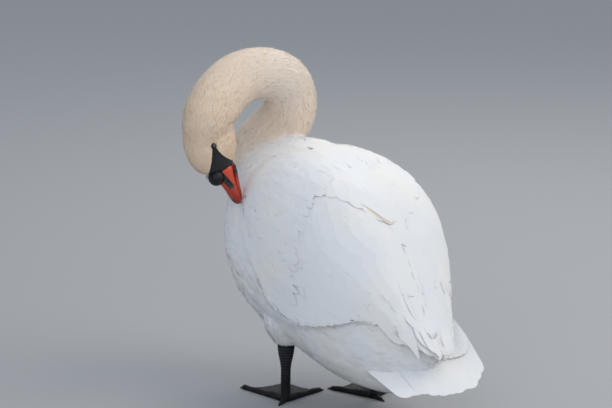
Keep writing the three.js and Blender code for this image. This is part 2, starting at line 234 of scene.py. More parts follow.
# The head's own axes: -Y along the bill, +Z to the crown, origin between the eyes.
headSet = {"place": (196, -117, 512), "bill": (-0.333, 0.296, -0.896), "crown": (0.926, -0.078, -0.37)}
headBack = -Vector(headSet["bill"]).normalized()
headLeft = Vector(headSet["crown"]).cross(Vector(headSet["bill"])).normalized()
headCrown = headLeft.cross(headBack).normalized()
headOrigin = Vector(place(headSet["place"]))
headMatrix = Matrix((headLeft, headBack, headCrown)).transposed().to_4x4()
headMatrix.translation = headOrigin
headTurn = headMatrix.to_euler()
headAxes = np.array([headLeft, headBack, headCrown])

# The bare black skin: a wedge that starts behind the eye and widens to the bill's base.
loreSet = {
    "behindEye": 0.0085, "length": 0.042, "top": 0.0055, "topRise": 0.020, "bottom": -0.0035,
    "bottomDrop": 0.024, "bottomPower": 2.0, "billBase": -0.0455, "blur": 0.0007,
}


def headLocal(spots):
    return (np.asarray(spots) - np.array(headOrigin)) @ headAxes.T


# how far inside the bare skin's edge a place on the head is, in metres
def loreDepth(local):
    y, z = local[:, 1], local[:, 2]
    t = np.clip(-y / loreSet["length"], 0, 2)
    start = easeStep(loreSet["behindEye"], -0.004, y)
    top = loreSet["top"] * start + loreSet["topRise"] * t
    bottom = loreSet["bottom"] * start - loreSet["bottomDrop"] * t ** loreSet["bottomPower"]
    wedge = np.minimum(np.minimum(top - z, z - bottom), loreSet["behindEye"] - y)
    return np.maximum(wedge, loreSet["billBase"] - y)


# the bare skin's mask, and how far inside it a place is, as sockets
def loreMask(w):
    axes = w.split(w.objectPlace(tuple(headOrigin), tuple(headTurn)))
    y, z = axes[1], axes[2]
    t = w.most(w.math("DIVIDE", y, -loreSet["length"]), 0.0)
    start = w.ramp(y, loreSet["behindEye"], -0.004, 0.0, 1.0)
    top = w.both(t, loreSet["topRise"], w.times(start, loreSet["top"]))
    dropped = w.times(w.math("POWER", t, loreSet["bottomPower"]), -loreSet["bottomDrop"])
    bottom = w.both(start, loreSet["bottom"], dropped)
    wedge = w.least(w.less(top, z), w.less(z, bottom))
    wedge = w.least(wedge, w.less(loreSet["behindEye"], y))
    depth = w.most(wedge, w.less(loreSet["billBase"], y))
    near = w.ramp(w.math("ABSOLUTE", axes[0]), 0.06, 0.07, 1.0, 0.0)
    near = w.times(near, w.ramp(w.math("ABSOLUTE", z), 0.07, 0.08, 1.0, 0.0))
    near = w.times(near, w.ramp(y, -0.075, -0.07, 0.0, 1.0))
    mask = w.times(w.ramp(depth, -loreSet["blur"], loreSet["blur"]), near)
    return mask, w.ramp(depth, 0.001, 0.0045)


plumageSet = {
    "white": (0.89, 0.90, 0.91), "warm": (0.93, 0.91, 0.87), "buff": (0.97, 0.745, 0.53),
    # the root colour is painted shade near each tuft's root, where the tufts in front cover it
    "root": (0.86, 0.85, 0.84), "shade": (0.60, 0.57, 0.54), "stainAndShade": (0.60, 0.52, 0.44),
    # the dark grey on the black bare skin is a painted sheen
    "black": (0.004, 0.004, 0.005), "paintedSkinSheen": (0.020, 0.020, 0.023), "roughness": 0.85,
    "bareRoughness": 0.40,
    # the stain's brown is partly painted shade under the body; where it fades out: (level in metres, Y in
    # metres, strength)
    "stainAndShadeMask": [((0.10, 0.14), (0.10, 0.20), 0.5), ((0.12, 0.19), (0.05, 0.10), 0.6)],
    "toneShare": 0.05, "buffToneShare": 0.22,  # how much the tufts differ in shade
}


# white plumage with the neck's buff, each tuft's own tone, a brown stain on the low belly and thighs that is
# partly painted shade, painted shade at each tuft's root, and the bare skin where marked, which carries a
# painted sheen
def plumageMaterial(name, barbScale=900.0, marked=False, tufted=True):
    material = newMaterial(name, plumageSet["white"], plumageSet["roughness"], sheen=0.15, specular=0.25)
    w = Wiring(material)
    here = w.objectPlace()
    colour = w.mix(w.ramp(w.noise(here, 9.0), 0.35, 0.7), plumageSet["white"], plumageSet["warm"])
    _, backwards, level = w.split(here)
    # painted shade: the low belly and thighs turn brown-grey, partly a real stain and partly the shade and
    # warm bounce light under the body
    belly, thighs = (w.times(w.ramp(level, *high, strength, 0.0), w.ramp(backwards, *far, 1.0, 0.0))
                     for high, far, strength in plumageSet["stainAndShadeMask"])
    stainAndShadeMask = w.times(w.most(belly, thighs), w.ramp(w.noise(here, 22.0, 4.0), 0.3, 0.7))
    colour = w.mix(stainAndShadeMask, colour, plumageSet["stainAndShade"])
    buffness = w.attribute("neckTone")
    mottle = w.times(buffness, w.ramp(w.noise(here, 60.0, 4.0), 0.25, 0.75, 0.86, 1.08), clamp=True)
    colour = w.mix(mottle, colour, plumageSet["buff"])
    if tufted:
        # painted shade: each tuft darkens a little towards its root, under the tufts in front of it
        colour = w.mix(w.ramp(w.attribute("along"), 0.0, 0.5, 0.2, 0.0), colour, plumageSet["root"])
        share = w.both(buffness, plumageSet["buffToneShare"], plumageSet["toneShare"])
        colour = w.mix(w.times(w.attribute("tone"), share), colour, plumageSet["shade"], "MULTIPLY")
    if marked:
        mask, inside = loreMask(w)
        # painted sheen: the bare skin turns noisy dark grey away from its black edge
        sheen = w.times(inside, w.ramp(w.noise(here, 210.0, 4.0), 0.3, 0.75, 0.35, 1.0))
        colour = w.mix(mask, colour, w.mix(sheen, plumageSet["black"], plumageSet["paintedSkinSheen"]))
        w.rough(w.ramp(mask, 0.0, 1.0, plumageSet["roughness"], plumageSet["bareRoughness"]))
    w.colour(colour)
    w.bump(w.noise(here, barbScale, 2.0), 0.25, 0.0006)
    return material


# The plumage's outline, and the skin beneath it
formSet = {
    "voxel": 0.0036, "grow": 0.0007, "wingGrow": 0.0013, "wingCut": 352, "evenings": 4,
    "creaseEvenings": 45, "creases": [((20, -230, 370), 95), ((30, -150, 480), 62), ((193, -113, 537), 42)],
}
skinDepth = {"body": 0.0024, "neck": 0.0013, "head": 0.0008, "thigh": 0.003, "share": 0.3, "evenings": 10}
neckNodes = ["neck_base", "neck_lower", "neck_arch", "neck_upper"]
wingNodes = ["wing_left", "wing_right"]
thighNodes = ["thigh_left", "thigh_right"]
fleshNodes = ["trunk", *thighNodes, *wingNodes, *neckNodes, "head"]


def mergedCopy(names, grow=0.0):
    shell = bmesh.new()
    for name in names:
        shell.from_mesh(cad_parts[name].data)
    bmesh.ops.remove_doubles(shell, verts=shell.verts, dist=1e-6)
    shell.normal_update()
    for vertex in shell.verts:
        vertex.co += vertex.normal * grow
    return shell


def objectOf(name, shell):
    mesh = bpy.data.meshes.new(name)
    shell.to_mesh(mesh)
    shell.free()
    return linked(name, mesh)


def applied(thing):
    mesh = bpy.data.meshes.new_from_object(thing.evaluated_get(bpy.context.evaluated_depsgraph_get()))
    thing.modifiers.clear()
    old = thing.data
    thing.data = mesh
    bpy.data.meshes.remove(old)
    return thing


def remeshed(thing, voxel):
    modifier = thing.modifiers.new("remesh", "REMESH")
    modifier.mode = "VOXEL"
    modifier.voxel_size = voxel
    return applied(thing)


def read(items, key, width=1, kind=np.float32):
    values = np.empty(len(items) * width, kind)
    items.foreach_get(key, values)
    return values.reshape(-1, width) if width > 1 else values


def coordinates(mesh):
    return read(mesh.vertices, "co", 3).astype(float)


def normalsOf(mesh):
    return read(mesh.vertex_normals, "vector", 3).astype(float)


def shadeSmooth(mesh):
    mesh.polygons.foreach_set("use_smooth", np.ones(len(mesh.polygons), bool))


def evened(thing, times, chosen=None):
    shell = bmesh.new()
    shell.from_mesh(thing.data)
    shell.verts.ensure_lookup_table()
    verts = shell.verts if chosen is None else [shell.verts[i] for i in chosen]
    for _ in range(times):
        bmesh.ops.smooth_vert(shell, verts=verts, factor=0.5, use_axis_x=True, use_axis_y=True,
                              use_axis_z=True)
    shell.to_mesh(thing.data)
    shell.free()
    return thing


# The neck's middle line from the shoulders to the bill's root, in millimetres.
neckRoute = [(0, -120, 310), (0, -176, 378), (4, -216, 440), (-20, -187, 500), (-33, -146, 556),
             (-9, -129, 618), (48, -129, 645), (111, -133, 638), (161, -127, 607), (189, -121, 566),
             (194, -118, 525), (186, -110, 485)]


def sampledRoute(points, count):
    points = np.array(points, float)
    knots = np.concatenate([[0], np.cumsum(np.linalg.norm(np.diff(points, axis=0), axis=1))])
    curves = [smoothThrough(np.column_stack([knots, points[:, axis]])) for axis in range(3)]
    at = np.linspace(0, knots[-1], count)
    return place(np.column_stack([curve(at) for curve in curves])), at / knots[-1]


neckLine, neckShare = sampledRoute(neckRoute, 140)
neckTangent = unit(np.gradient(neckLine, axis=0))

wingTool = mergedCopy(wingNodes, formSet["wingGrow"])
cutPlace = place((0, formSet["wingCut"], 0))
bmesh.ops.bisect_plane(wingTool, geom=[*wingTool.verts, *wingTool.edges, *wingTool.faces], plane_co=cutPlace,
                       plane_no=(0, 1, 0), clear_outer=True)
bmesh.ops.holes_fill(wingTool, edges=[edge for edge in wingTool.edges if edge.is_boundary])
outline = mergedCopy(["trunk", *thighNodes, *neckNodes, "head"], formSet["grow"])
spare = bpy.data.meshes.new("spare")
wingTool.to_mesh(spare)
wingTool.free()
outline.from_mesh(spare)
bpy.data.meshes.remove(spare)
form = remeshed(objectOf("form", outline), formSet["voxel"])
evened(form, formSet["evenings"])

spots = coordinates(form.data)
for centre, reach in formSet["creases"]:
    away = np.linalg.norm(spots - place(centre), axis=1)
    evened(form, formSet["creaseEvenings"], np.flatnonzero(away < reach * 0.001))
edges = read(form.data.edges, "vertices", 2, np.int32)
neighbours = np.bincount(edges.ravel(), minlength=len(form.data.vertices))[:, None]


# the mean of each point's neighbours, column by column
def amongNeighbours(columns):
    total = [np.bincount(edges[:, 0], column[edges[:, 1]], len(columns))
             + np.bincount(edges[:, 1], column[edges[:, 0]], len(columns)) for column in columns.T]
    return np.column_stack(total) / neighbours


# The fold between head and neck fills up: its hollows move out towards their neighbours, and nothing sinks.
hollowSet = {
    "centre": (190, -118, 545), "reach": 74, "whole": 0.6, "behindEye": (0.009, 0.030), "fillings": 240,
    "swell": 0.000068,
}
spots = coordinates(form.data)
away = np.linalg.norm(spots - place(hollowSet["centre"]), axis=1) * 1000
chosen = easeStep(hollowSet["reach"], hollowSet["reach"] * hollowSet["whole"], away)
chosen *= easeStep(*hollowSet["behindEye"], headLocal(spots)[:, 1])
normals = normalsOf(form.data)
for _ in range(hollowSet["fillings"]):
    outwards = ((amongNeighbours(spots) - spots) * normals).sum(axis=1) + hollowSet["swell"]
    spots = spots + normals * (np.maximum(outwards, 0) * chosen)[:, None] * 0.5
form.data.vertices.foreach_set("co", spots.ravel())
form.data.update()
print("outline of the plumage:", len(form.data.vertices), "points")


def surfaceOf(mesh):
    mesh.calc_loop_triangles()
    return coordinates(mesh), normalsOf(mesh), read(mesh.loop_triangles, "vertices", 3, np.int32)


formSpots, formNormals, formTriangles = surfaceOf(form.data)
formTree = BVHTree.FromPolygons(formSpots.tolist(), formTriangles.tolist())


# the nearest places on the outline, their normals, and the corners and weights to read values by
def onForm(points):
    found = [formTree.find_nearest(point) for point in points.tolist()]
    spots = np.array([hit[0] for hit in found])
    corners = formTriangles[[hit[2] for hit in found]]
    weights = 1 / (np.linalg.norm(formSpots[corners] - spots[:, None], axis=2) + 1e-5)
    weights /= weights.sum(axis=1, keepdims=True)
    return spots, unit((formNormals[corners] * weights[..., None]).sum(axis=1)), corners, weights


# the nearest station of the neck's line, and how far away it is
def neckPlace(points, last=None):
    line = neckLine[:last]
    away = np.linalg.norm(points[:, None] - line[None], axis=2)
    nearest = away.argmin(axis=1)
    return nearest, away[np.arange(len(points)), nearest]


# which group of CAD nodes each place is nearest to
def nodeLabels(points, groups):
    spots, faces, owner = [], [], []
    for index, names in enumerate(groups):
        for name in names:
            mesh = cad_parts[name].data
            nodeSpots, _, triangles = surfaceOf(mesh)
            faces.extend((triangles + len(spots)).tolist())
            spots.extend(nodeSpots.tolist())
            owner.extend([index] * len(triangles))
    tree = BVHTree.FromPolygons(spots, faces)
    return np.array([owner[tree.find_nearest(point)[2]] for point in points.tolist()])


labelGroups = [["trunk"], wingNodes, neckNodes, ["head"], thighNodes]
isTrunk, isWing, isNeck, isHead, isThigh = range(5)
formLabels = nodeLabels(formSpots, labelGroups)
nearestNeck, _ = neckPlace(formSpots)
onNeck = (formLabels == isNeck) | (formLabels == isHead)
baseShare = neckShare[nearestNeck]

# How much of the neck's buff a place has: most on the head, less on the arch, none on the body.
# In front it fades between two levels near the neck's root.
buffSet = {
    "tone": [(0, 0.0), (0.08, 0.12), (0.18, 0.42), (0.30, 0.66), (0.46, 0.78), (0.58, 0.62), (0.72, 0.75),
             (0.88, 0.98), (1, 1)],
    "rootLevels": (0.375, 0.520), "rootShare": 0.42, "evenings": 14,
}
rootTone = np.where(baseShare < buffSet["rootShare"], easeStep(*buffSet["rootLevels"], formSpots[:, 2]), 1.0)
neckToneAt = np.where(onNeck, smoothThrough(buffSet["tone"])(baseShare) * rootTone, 0.0)

depth = np.where(formLabels == isNeck, skinDepth["neck"], skinDepth["body"])
depth = np.where(formLabels == isThigh, skinDepth["thigh"], depth)
headDepth = np.interp(headLocal(formSpots)[:, 1], [-0.04, 0.03], [skinDepth["head"], skinDepth["neck"]])
depth = np.where(formLabels == isHead, headDepth, depth)
wall = np.array([(formTree.ray_cast(Vector(spot - normal * 0.0005), Vector(-normal))[3] or 0.05)
                 for spot, normal in zip(formSpots, formNormals)])
depth = np.minimum(depth, wall * skinDepth["share"])


# values blurred over the outline
def spread(values, times):
    values = np.array(values, float)
    flat = values.reshape(len(values), -1)
    for _ in range(times):
        flat = 0.5 * flat + 0.5 * amongNeighbours(flat)
    return flat.reshape(values.shape)


depth = spread(depth, skinDepth["evenings"])
neckToneAt = spread(neckToneAt, buffSet["evenings"])

# The lie of the coat
lieSet = {"rear": (0, 420, 118), "neckReach": (0.085, 0.17), "rootShare": 0.36, "thigh": (0, 0.15, -1.0),
          "evenings": 40}
bodyLie = unit(place(lieSet["rear"]) - formSpots)
baseIndex, baseAway = neckPlace(formSpots, int(len(neckLine) * lieSet["rootShare"]))
baseHold = 1 - easeStep(*lieSet["neckReach"], baseAway)[:, None]
lie = unit(bodyLie * (1 - baseHold) - neckTangent[baseIndex] * baseHold)
lie = np.where(onNeck[:, None], -neckTangent[nearestNeck], lie)
lie = np.where((formLabels == isHead)[:, None], np.array(headBack), lie)
lie = np.where((formLabels == isThigh)[:, None], np.array(lieSet["thigh"]), lie)


def alongSurface(directions, normals):
    return unit(directions - (directions * normals).sum(axis=-1, keepdims=True) * normals)


lie = alongSurface(spread(alongSurface(lie, formNormals), lieSet["evenings"]), formNormals)
print("lie of the coat")

skinMesh = form.data.copy()
skinMesh.name = "skin"
skin = linked("skin", skinMesh)
skinMesh.vertices.foreach_set("co", (formSpots - formNormals * depth[:, None]).ravel())
skinMesh.attributes.new("neckTone", "FLOAT", "POINT").data.foreach_set("value", neckToneAt)
shadeSmooth(skinMesh)
skinMesh.update()


def unwrapped(thing):
    bpy.context.view_layer.objects.active = thing
    thing.select_set(True)
    bpy.ops.object.mode_set(mode="EDIT")
    bpy.ops.mesh.select_all(action="SELECT")
    bpy.ops.uv.smart_project(angle_limit=math.radians(66), island_margin=0.002)
    bpy.ops.object.mode_set(mode="OBJECT")
    thing.select_set(False)
    thing.data.uv_layers.active.name = "OFBake"


unwrapped(skin)
skinMap = np.zeros((len(formSpots), 2))
skinMap[read(skinMesh.loops, "vertex_index", 1, np.int32)] = read(skinMesh.uv_layers["OFBake"].data, "uv", 2)
print("skin")

shaftWidth = 0.12  # share of the half width
mapPatch = 0.003  # a feather's patch on the map, across


# One thin closed feather: rows along it, columns across, and widths by (share of length, share of width).
def vaneTemplate(rows, columns, widths, camber=0.10, shaft=0.0, dip=0.0):
    across = np.linspace(-1, 1, columns)
    stations = np.array(rows)
    alongGrid, acrossGrid = np.meshgrid(stations, across, indexing="ij")
    width = np.interp(stations, *zip(*widths))[:, None] * np.ones(columns)
    height = camber * (1 - acrossGrid**2) + shaft * np.exp(-((acrossGrid / shaftWidth) ** 2))
    height = height - dip * acrossGrid**6
    inner = np.zeros(alongGrid.shape, bool)
    inner[1:-1, 1:-1] = True
    top = np.arange(inner.size).reshape(inner.shape)
    bottom = top.copy()
    bottom[inner] = inner.size + np.arange(inner.sum())

    def quads(index):
        return np.stack([index[:-1, :-1], index[1:, :-1], index[1:, 1:], index[:-1, 1:]],
                        axis=-1).reshape(-1, 4)

    # both sides split along one diagonal
    faces = np.concatenate([quads(top), quads(bottom)[:, [0, 3, 2, 1]]])
    pick = np.concatenate([np.arange(inner.size), np.flatnonzero(inner)])
    below = np.arange(len(pick)) >= inner.size
    grids = {"along": alongGrid, "across": acrossGrid, "width": width, "height": height, "rim": ~inner}
    template = {key: grid.ravel()[pick] for key, grid in grids.items()}
    column = np.tile(np.arange(columns), len(rows))[pick]
    return {**template, "below": below, "faces": faces, "column": column}


# A template whose stations crowd towards the tip, where the outline is part of an oval.
def roundedVane(start, begin, least=0.1, power=2.0, columns=9, **shape):
    inner = np.linspace(0, 1, 7) ** 0.62
    stations = [*np.linspace(0, start, 5)[:-1], *(start + (1 - start) * inner)]
    widths = [(t, np.interp(t, [0, 0.45 * start, start], [begin, 0.9, 1])) for t in stations[:4]]
    widths += [(t, max((1 - ((t - start) / (1 - start)) ** power) ** (1 / power), least))
               for t in stations[4:]]
    return vaneTemplate(stations, columns, widths, **shape)


# One joined mesh of feathers. Spots and normals have a row of stations for each feather, lifts are heights
# over them, and calm turns the shading of the tops towards the surface's.
def vaneMesh(name, spots, normals, halfWidths, template, lifts, thickness=0.0005, rolls=0.0, neckTones=None,
             swings=0.0, crisp=False, calm=0.92, fray=0.0, bends=None):
    count, stations = spots.shape[:2]
    at = np.clip(template["along"], 0, 1) * (stations - 1)
    low = np.minimum(at.astype(int), stations - 2)
    part = (at - low)[:, None]
    tangents = unit(np.gradient(spots, axis=1))

    def between(values):
        return values[:, low] * (1 - part) + values[:, low + 1] * part

    centre, normal, tangent = between(spots), unit(between(normals)), unit(between(tangents))
    side = unit(np.cross(normal, tangent))
    halfWidths = np.broadcast_to(np.asarray(halfWidths, float).reshape(-1, 1), (count, 1))
    reach = halfWidths * template["width"] * template["across"]
    rise = np.stack([np.interp(template["along"], np.linspace(0, 1, len(one)), one) for one in lifts])
    rise = rise + template["height"] * halfWidths - template["below"] * thickness
    rise = rise + np.asarray(rolls, float).reshape(-1, 1) * template["across"] * template["along"] ** 0.5
    swing = np.asarray(swings, float).reshape(-1, 1) * template["along"] ** 2
    if bends is not None:
        rise = rise - between(bends[..., None])[..., 0] * reach**2 / 2
    points = centre + side * (reach + swing)[..., None] + normal * rise[..., None]
    if fray:
        ragged = rng.uniform(-1, 0.3, (count, template["column"].max() + 1))[:, template["column"]]
        points = points + tangent * (ragged * fray * halfWidths * template["along"] ** 9)[..., None]
    size = len(template["along"])
    faces = (template["faces"][None] + (np.arange(count) * size)[:, None, None]).reshape(-1, 4)
    mesh = bpy.data.meshes.new(name)
    mesh.vertices.add(count * size)
    mesh.vertices.foreach_set("co", points.reshape(-1))
    mesh.loops.add(faces.size)
    mesh.loops.foreach_set("vertex_index", faces.ravel().astype(np.int32))
    mesh.polygons.add(len(faces))
    mesh.polygons.foreach_set("loop_start", np.arange(0, faces.size, 4, dtype=np.int32))
    mesh.update(calc_edges=True)
    shadeSmooth(mesh)
    neckTones = np.zeros(count) if neckTones is None else neckTones
    for key, values in (("along", np.tile(template["along"], count)),
                        ("tone", np.repeat(rng.random(count), size)),
                        ("neckTone", np.repeat(neckTones, size))):
        mesh.attributes.new(key, "FLOAT", "POINT").data.foreach_set("value", values.astype(np.float32))
    if crisp:
        onRim = np.tile(template["rim"], count)[read(mesh.edges, "vertices", 2, np.int32)].all(axis=1)
        mesh.attributes.new("sharp_edge", "BOOLEAN", "EDGE").data.foreach_set("value", onRim)
    _, _, corners, weights = onForm(spots[:, 0])
    maps = (skinMap[corners] * weights[..., None]).sum(axis=1)
    patch = np.column_stack([template["across"] * 0.5, template["along"] - 0.5]) * mapPatch
    flat = (maps[:, None] + patch[None]).reshape(-1, 2)
    mesh.uv_layers.new(name="OFBake").data.foreach_set("uv", flat[faces.ravel()].ravel().astype(np.float32))
    mesh.update()
    own, corner = read(mesh.corner_normals, "vector", 3), read(mesh.loops, "vertex_index", 1, np.int32)
    hold = np.tile(np.repeat([calm, 0.0], len(template["faces"]) * 2), count)[:, None]
    mixed = unit(own * (1 - hold) + normal.reshape(-1, 3)[corner] * hold)
    mesh.normals_split_custom_set(mixed.tolist())
    return linked(name, mesh)


# walks over the outline from the roots, one station after another
def marched(roots, directions, lengths, steps):
    found, normal, _, _ = onForm(roots)
    spots, normals, heading = [found], [normal], directions
    stride = (np.broadcast_to(lengths, (len(roots),)) / steps)[:, None]
    for _ in range(steps):
        heading = alongSurface(heading, normal)
        found, normal, _, _ = onForm(found + heading * stride)
        spots.append(found)
        normals.append(normal)
    return np.stack(spots, axis=1), np.stack(normals, axis=1)


# Roots spread over the chosen triangles, no two nearer than the spacing; tries is how many are drawn for
# each that is kept.
def scattered(chosen, spacing, tries=2.6):
    corners = formTriangles[chosen]
    a, b, c = (formSpots[corners[:, k]] for k in range(3))
    area = np.linalg.norm(np.cross(b - a, c - a), axis=1) / 2
    which = np.repeat(np.arange(len(corners)), rng.poisson(area * tries / spacing**2))
    which = which[rng.permutation(len(which))]
    u, v = rng.random((2, len(which)))
    flip = u + v > 1
    u[flip], v[flip] = 1 - u[flip], 1 - v[flip]
    weights = np.column_stack([1 - u - v, u, v])
    points = (formSpots[corners[which]] * weights[..., None]).sum(axis=1)
    tree = KDTree(len(points))
    for index, point in enumerate(points):
        tree.insert(point, index)
    tree.balance()
    keep = np.ones(len(points), bool)
    reach = spacing[which]
    for index, point in enumerate(points):
        if keep[index]:
            for _, other, _ in tree.find_range(point, reach[index]):
                if other > index:
                    keep[other] = False
    return points[keep], corners[which[keep]], weights[keep]


def interpolated(values, corners, weights):
    picked = values[corners]
    return (picked * (weights if picked.ndim == 2 else weights[..., None])).sum(axis=1)


def finish(thing, slot, material, replaced=()):
    thing.data.materials.clear()
    thing.data.materials.append(material)
    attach(thing, "root")
    if replaced:
        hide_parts(*replaced)


def counted(name, count, made):
    print(name, count, "tufts", 2 * len(made.data.polygons), "triangles")


skinMaterial = plumageMaterial("skinMaterial", marked=True, tufted=False)
headPlumage = plumageMaterial("headPlumage", 1600.0, marked=True)
bodyPlumage = plumageMaterial("bodyPlumage", 700.0)
finish(skin, "plumage", skinMaterial, fleshNodes)

# A tuft's height over the outline, from its root at full depth to its tip; the middle also rises a little.
tuftSet = {"lifts": [-1.0, -0.30, -0.04, -0.02, -0.14], "rises": [0, 0.4, 1, 1, 0.3], "thickness": 0.00015}
softTuft = vaneTemplate([0, 0.5, 1.0], 3, [(0, 0.35), (0.5, 1), (1, 0.08)], camber=0.10)
bodyTuft = vaneTemplate([0, 0.3, 0.6, 0.85, 1.0], 3,
                        [(0, 0.3), (0.3, 0.9), (0.6, 1), (0.85, 0.6), (1, 0.08)], camber=0.07)
triCentre = formSpots[formTriangles].mean(axis=1)
triLabel = formLabels[formTriangles[:, 0]]
triShare = baseShare[formTriangles[:, 0]]


# One joined mesh of tufts that follow the lie. Length and depth are functions of a place, and half is the
# tuft's half width as a share of its length.
def coat(name, chosen, spacing, length, half, depthAt, template, slot, material, jitter=0.10, unruly=0.0,
         rise=0.0005, keepIf=None, steps=3):
    points, corners, weights = scattered(chosen, spacing)
    if keepIf is not None:
        good = keepIf(points)
        points, corners, weights = points[good], corners[good], weights[good]
    heading = interpolated(lie, corners, weights)
    count = len(points)
    lengths = length(points) * rng.uniform(0.85, 1.15, count)
    direction = heading + rng.normal(0, jitter, (count, 3))
    spots, normals = marched(points - unit(heading) * lengths[:, None] * 0.5, direction, lengths, steps)
    scale = depthAt(points) + rng.uniform(0, unruly, count)
    rises = rise * np.array(tuftSet["rises"]) * rng.uniform(0.3, 1.7, count)[:, None]
    lifts = scale[:, None] * np.array(tuftSet["lifts"]) + rises
    halfWidths = length(points) * half * rng.uniform(0.85, 1.15, count)
    made = vaneMesh(name, spots, normals, halfWidths, template, lifts, tuftSet["thickness"],
                    rolls=rng.normal(0, 0.0001 + unruly * 0.3, count),
                    neckTones=interpolated(neckToneAt, corners, weights))
    finish(made, slot, material)
    counted(name, count, made)


# Sizes along the neck, by share of its line from shoulders (0) to bill (1), and along the body, by Y.
neckLength = smoothThrough([(0, 0.022), (0.2, 0.016), (0.45, 0.012), (0.75, 0.0095), (0.88, 0.0075),
                            (1.0, 0.0045)])
neckSpacing = smoothThrough([(0, 0.0040), (0.2, 0.0032), (0.45, 0.0026), (0.75, 0.0023), (0.88, 0.0019),
                             (1.0, 0.0014)])
neckDepth = ([0, 0.5, 0.85, 0.93, 1], [0.0024, 0.0016, 0.0013, 0.0009, 0.0007])
bodySize = smoothThrough([(-260, 0.022), (-150, 0.026), (0, 0.034), (200, 0.040), (350, 0.034)])
bareEdge = {"gap": 0.0006, "eye": (0.0315, 0.003, 0), "eyeGap": 0.0088}


def shareAt(points):
    return neckShare[neckPlace(points)[0]]


def bodyLength(points):
    return bodySize(points[:, 1] * 1000 + middlePlane[1])


def evenly(value):
    return lambda points: np.full(len(points), value)


def offBareSkin(points):
    local = headLocal(points)
    eyeAway = np.linalg.norm(local * np.where(local[:, :1] < 0, (-1, 1, 1), 1) - bareEdge["eye"], axis=1)
    return (loreDepth(local) < -bareEdge["gap"]) & (eyeAway > bareEdge["eyeGap"])


neckCoat = {
    "length": lambda p: neckLength(shareAt(p)), "half": 0.19,
    "depthAt": lambda p: np.interp(shareAt(p), *neckDepth), "template": softTuft, "slot": "neck_plumage",
    "material": headPlumage,
}
bodyCoat = {
    "length": bodyLength, "half": 0.16, "depthAt": evenly(skinDepth["body"]), "template": bodyTuft,
    "slot": "plumage", "material": bodyPlumage, "steps": 4,
}
wingCoat = {**bodyCoat, "half": 0.17, "jitter": 0.12, "unruly": 0.0001}
thighCoat = {**bodyCoat, "length": evenly(0.019), "half": 0.0028 / 0.019, "depthAt": evenly(0.002),
             "unruly": 0.0006}
# Where the breast ends, in metres, and where the wing's vanes start to cover it, in millimetres.
partSet = {"breastEnd": -0.03, "wingEnd": 130, "thighSpacing": 0.0042}

part = np.flatnonzero(triLabel == isHead)
coat("coat_head", part, neckSpacing(triShare[part]), **neckCoat, rise=0.0003, keepIf=offBareSkin)
for name, low, high in (("coat_neck_upper", 0.55, 1.01), ("coat_neck_lower", -0.01, 0.55)):
    part = np.flatnonzero((triLabel == isNeck) & (triShare >= low) & (triShare < high))
    coat(name, part, neckSpacing(triShare[part]), **neckCoat, unruly=0.0002)
inFront = triCentre[:, 1] + middlePlane[1] * 0.001 < partSet["breastEnd"]
onWing = (triLabel == isWing) & (triCentre[:, 1] < place((0, partSet["wingEnd"], 0))[1])
for name, chosen, item in (("coat_breast", (triLabel == isTrunk) & inFront, bodyCoat),
                           ("coat_body", (triLabel == isTrunk) & ~inFront, bodyCoat),
                           ("coat_wings", onWing, wingCoat)):
    part = np.flatnonzero(chosen)
    coat(name, part, bodyLength(triCentre[part]) * item["half"], **item)
part = np.flatnonzero(triLabel == isThigh)
coat("coat_thighs", part, evenly(partSet["thighSpacing"])(part), **thighCoat)

# Loose tips that stand off the coat: a fine fringe on head and neck, and down on flanks, belly and thighs.
wispTuft = vaneTemplate([0, 0.4, 0.75, 1.0], 3, [(0, 0.4), (0.4, 1), (0.75, 0.6), (1, 0.05)], camber=0.1)
wispSet = {
    "neck": {"spacing": 0.0058, "length": 0.013, "half": 0.0009, "lift": 0.0036, "behindEye": 0.012},
    "down": {"spacing": 0.0075, "length": 0.032, "half": 0.0020, "lift": 0.0028, "below": 0.30},
    "lifts": [-0.6, 0.1, 0.45, 0.75, 1.0], "jitter": 0.16, "swing": 0.8, "toneShare": 0.8,
}


def wisps(name, chosen, item, slot, material):
    points, corners, weights = scattered(chosen, evenly(item["spacing"])(chosen))
    count = len(points)
    lengths = item["length"] * rng.uniform(0.7, 1.3, count)
    direction = interpolated(lie, corners, weights) + rng.normal(0, wispSet["jitter"], (count, 3))
    spots, normals = marched(points, direction, lengths, 3)
    lifts = rng.uniform(0.2, 1.3, count)[:, None] * item["lift"] * np.array(wispSet["lifts"])
    made = vaneMesh(name, spots, normals, item["half"] * rng.uniform(0.7, 1.2, count), wispTuft, lifts,
                    tuftSet["thickness"], swings=rng.normal(0, item["half"] * wispSet["swing"], count),
                    neckTones=interpolated(neckToneAt, corners, weights) * wispSet["toneShare"])
    finish(made, slot, material)
    counted(name, count, made)


nape = (triLabel == isHead) & (headLocal(triCentre)[:, 1] > wispSet["neck"]["behindEye"])
wisps("wisps_neck", np.flatnonzero((triLabel == isNeck) | nape), wispSet["neck"], "neck_plumage",
      headPlumage)
belly = (triLabel == isTrunk) & (triCentre[:, 2] < wispSet["down"]["below"])
wisps("wisps_down", np.flatnonzero(belly | (triLabel == isThigh)), wispSet["down"], "plumage", bodyPlumage)

# A folded wing hugs a shell, given by (Y, value) sizes in millimetres. A place on it is its Y and the angle
# from the top of the back down to the belly.
shellSet = {
    "top": [(-120, 480), (-40, 510), (60, 514), (130, 506), (180, 486), (240, 426), (300, 318), (345, 225),
            (380, 168)],
    "middle": [(-120, 330), (0, 286), (120, 256), (240, 222), (380, 150)],
    "halfWidth": [(-120, 122), (-40, 162), (60, 175), (150, 171), (200, 158), (250, 129), (300, 88),
                  (345, 58), (380, 26)],
    "groove": 26, "grooveAngle": 0.42, "grooveY": (-20, 160), "squareness": 0.8,
    "flesh": 7.5, "fleshEnd": (55, 355), "fleshAngle": 1.7, "vane": 1.2,
    "sunk": 0.8, "sunkAngle": 0.3,  # feathers beside the spine dip their inner edges
    "bends": (-12, 22), "stations": 10,
}
shellTop, shellMiddle, shellWidth = (smoothThrough(shellSet[key]) for key in ("top", "middle", "halfWidth"))


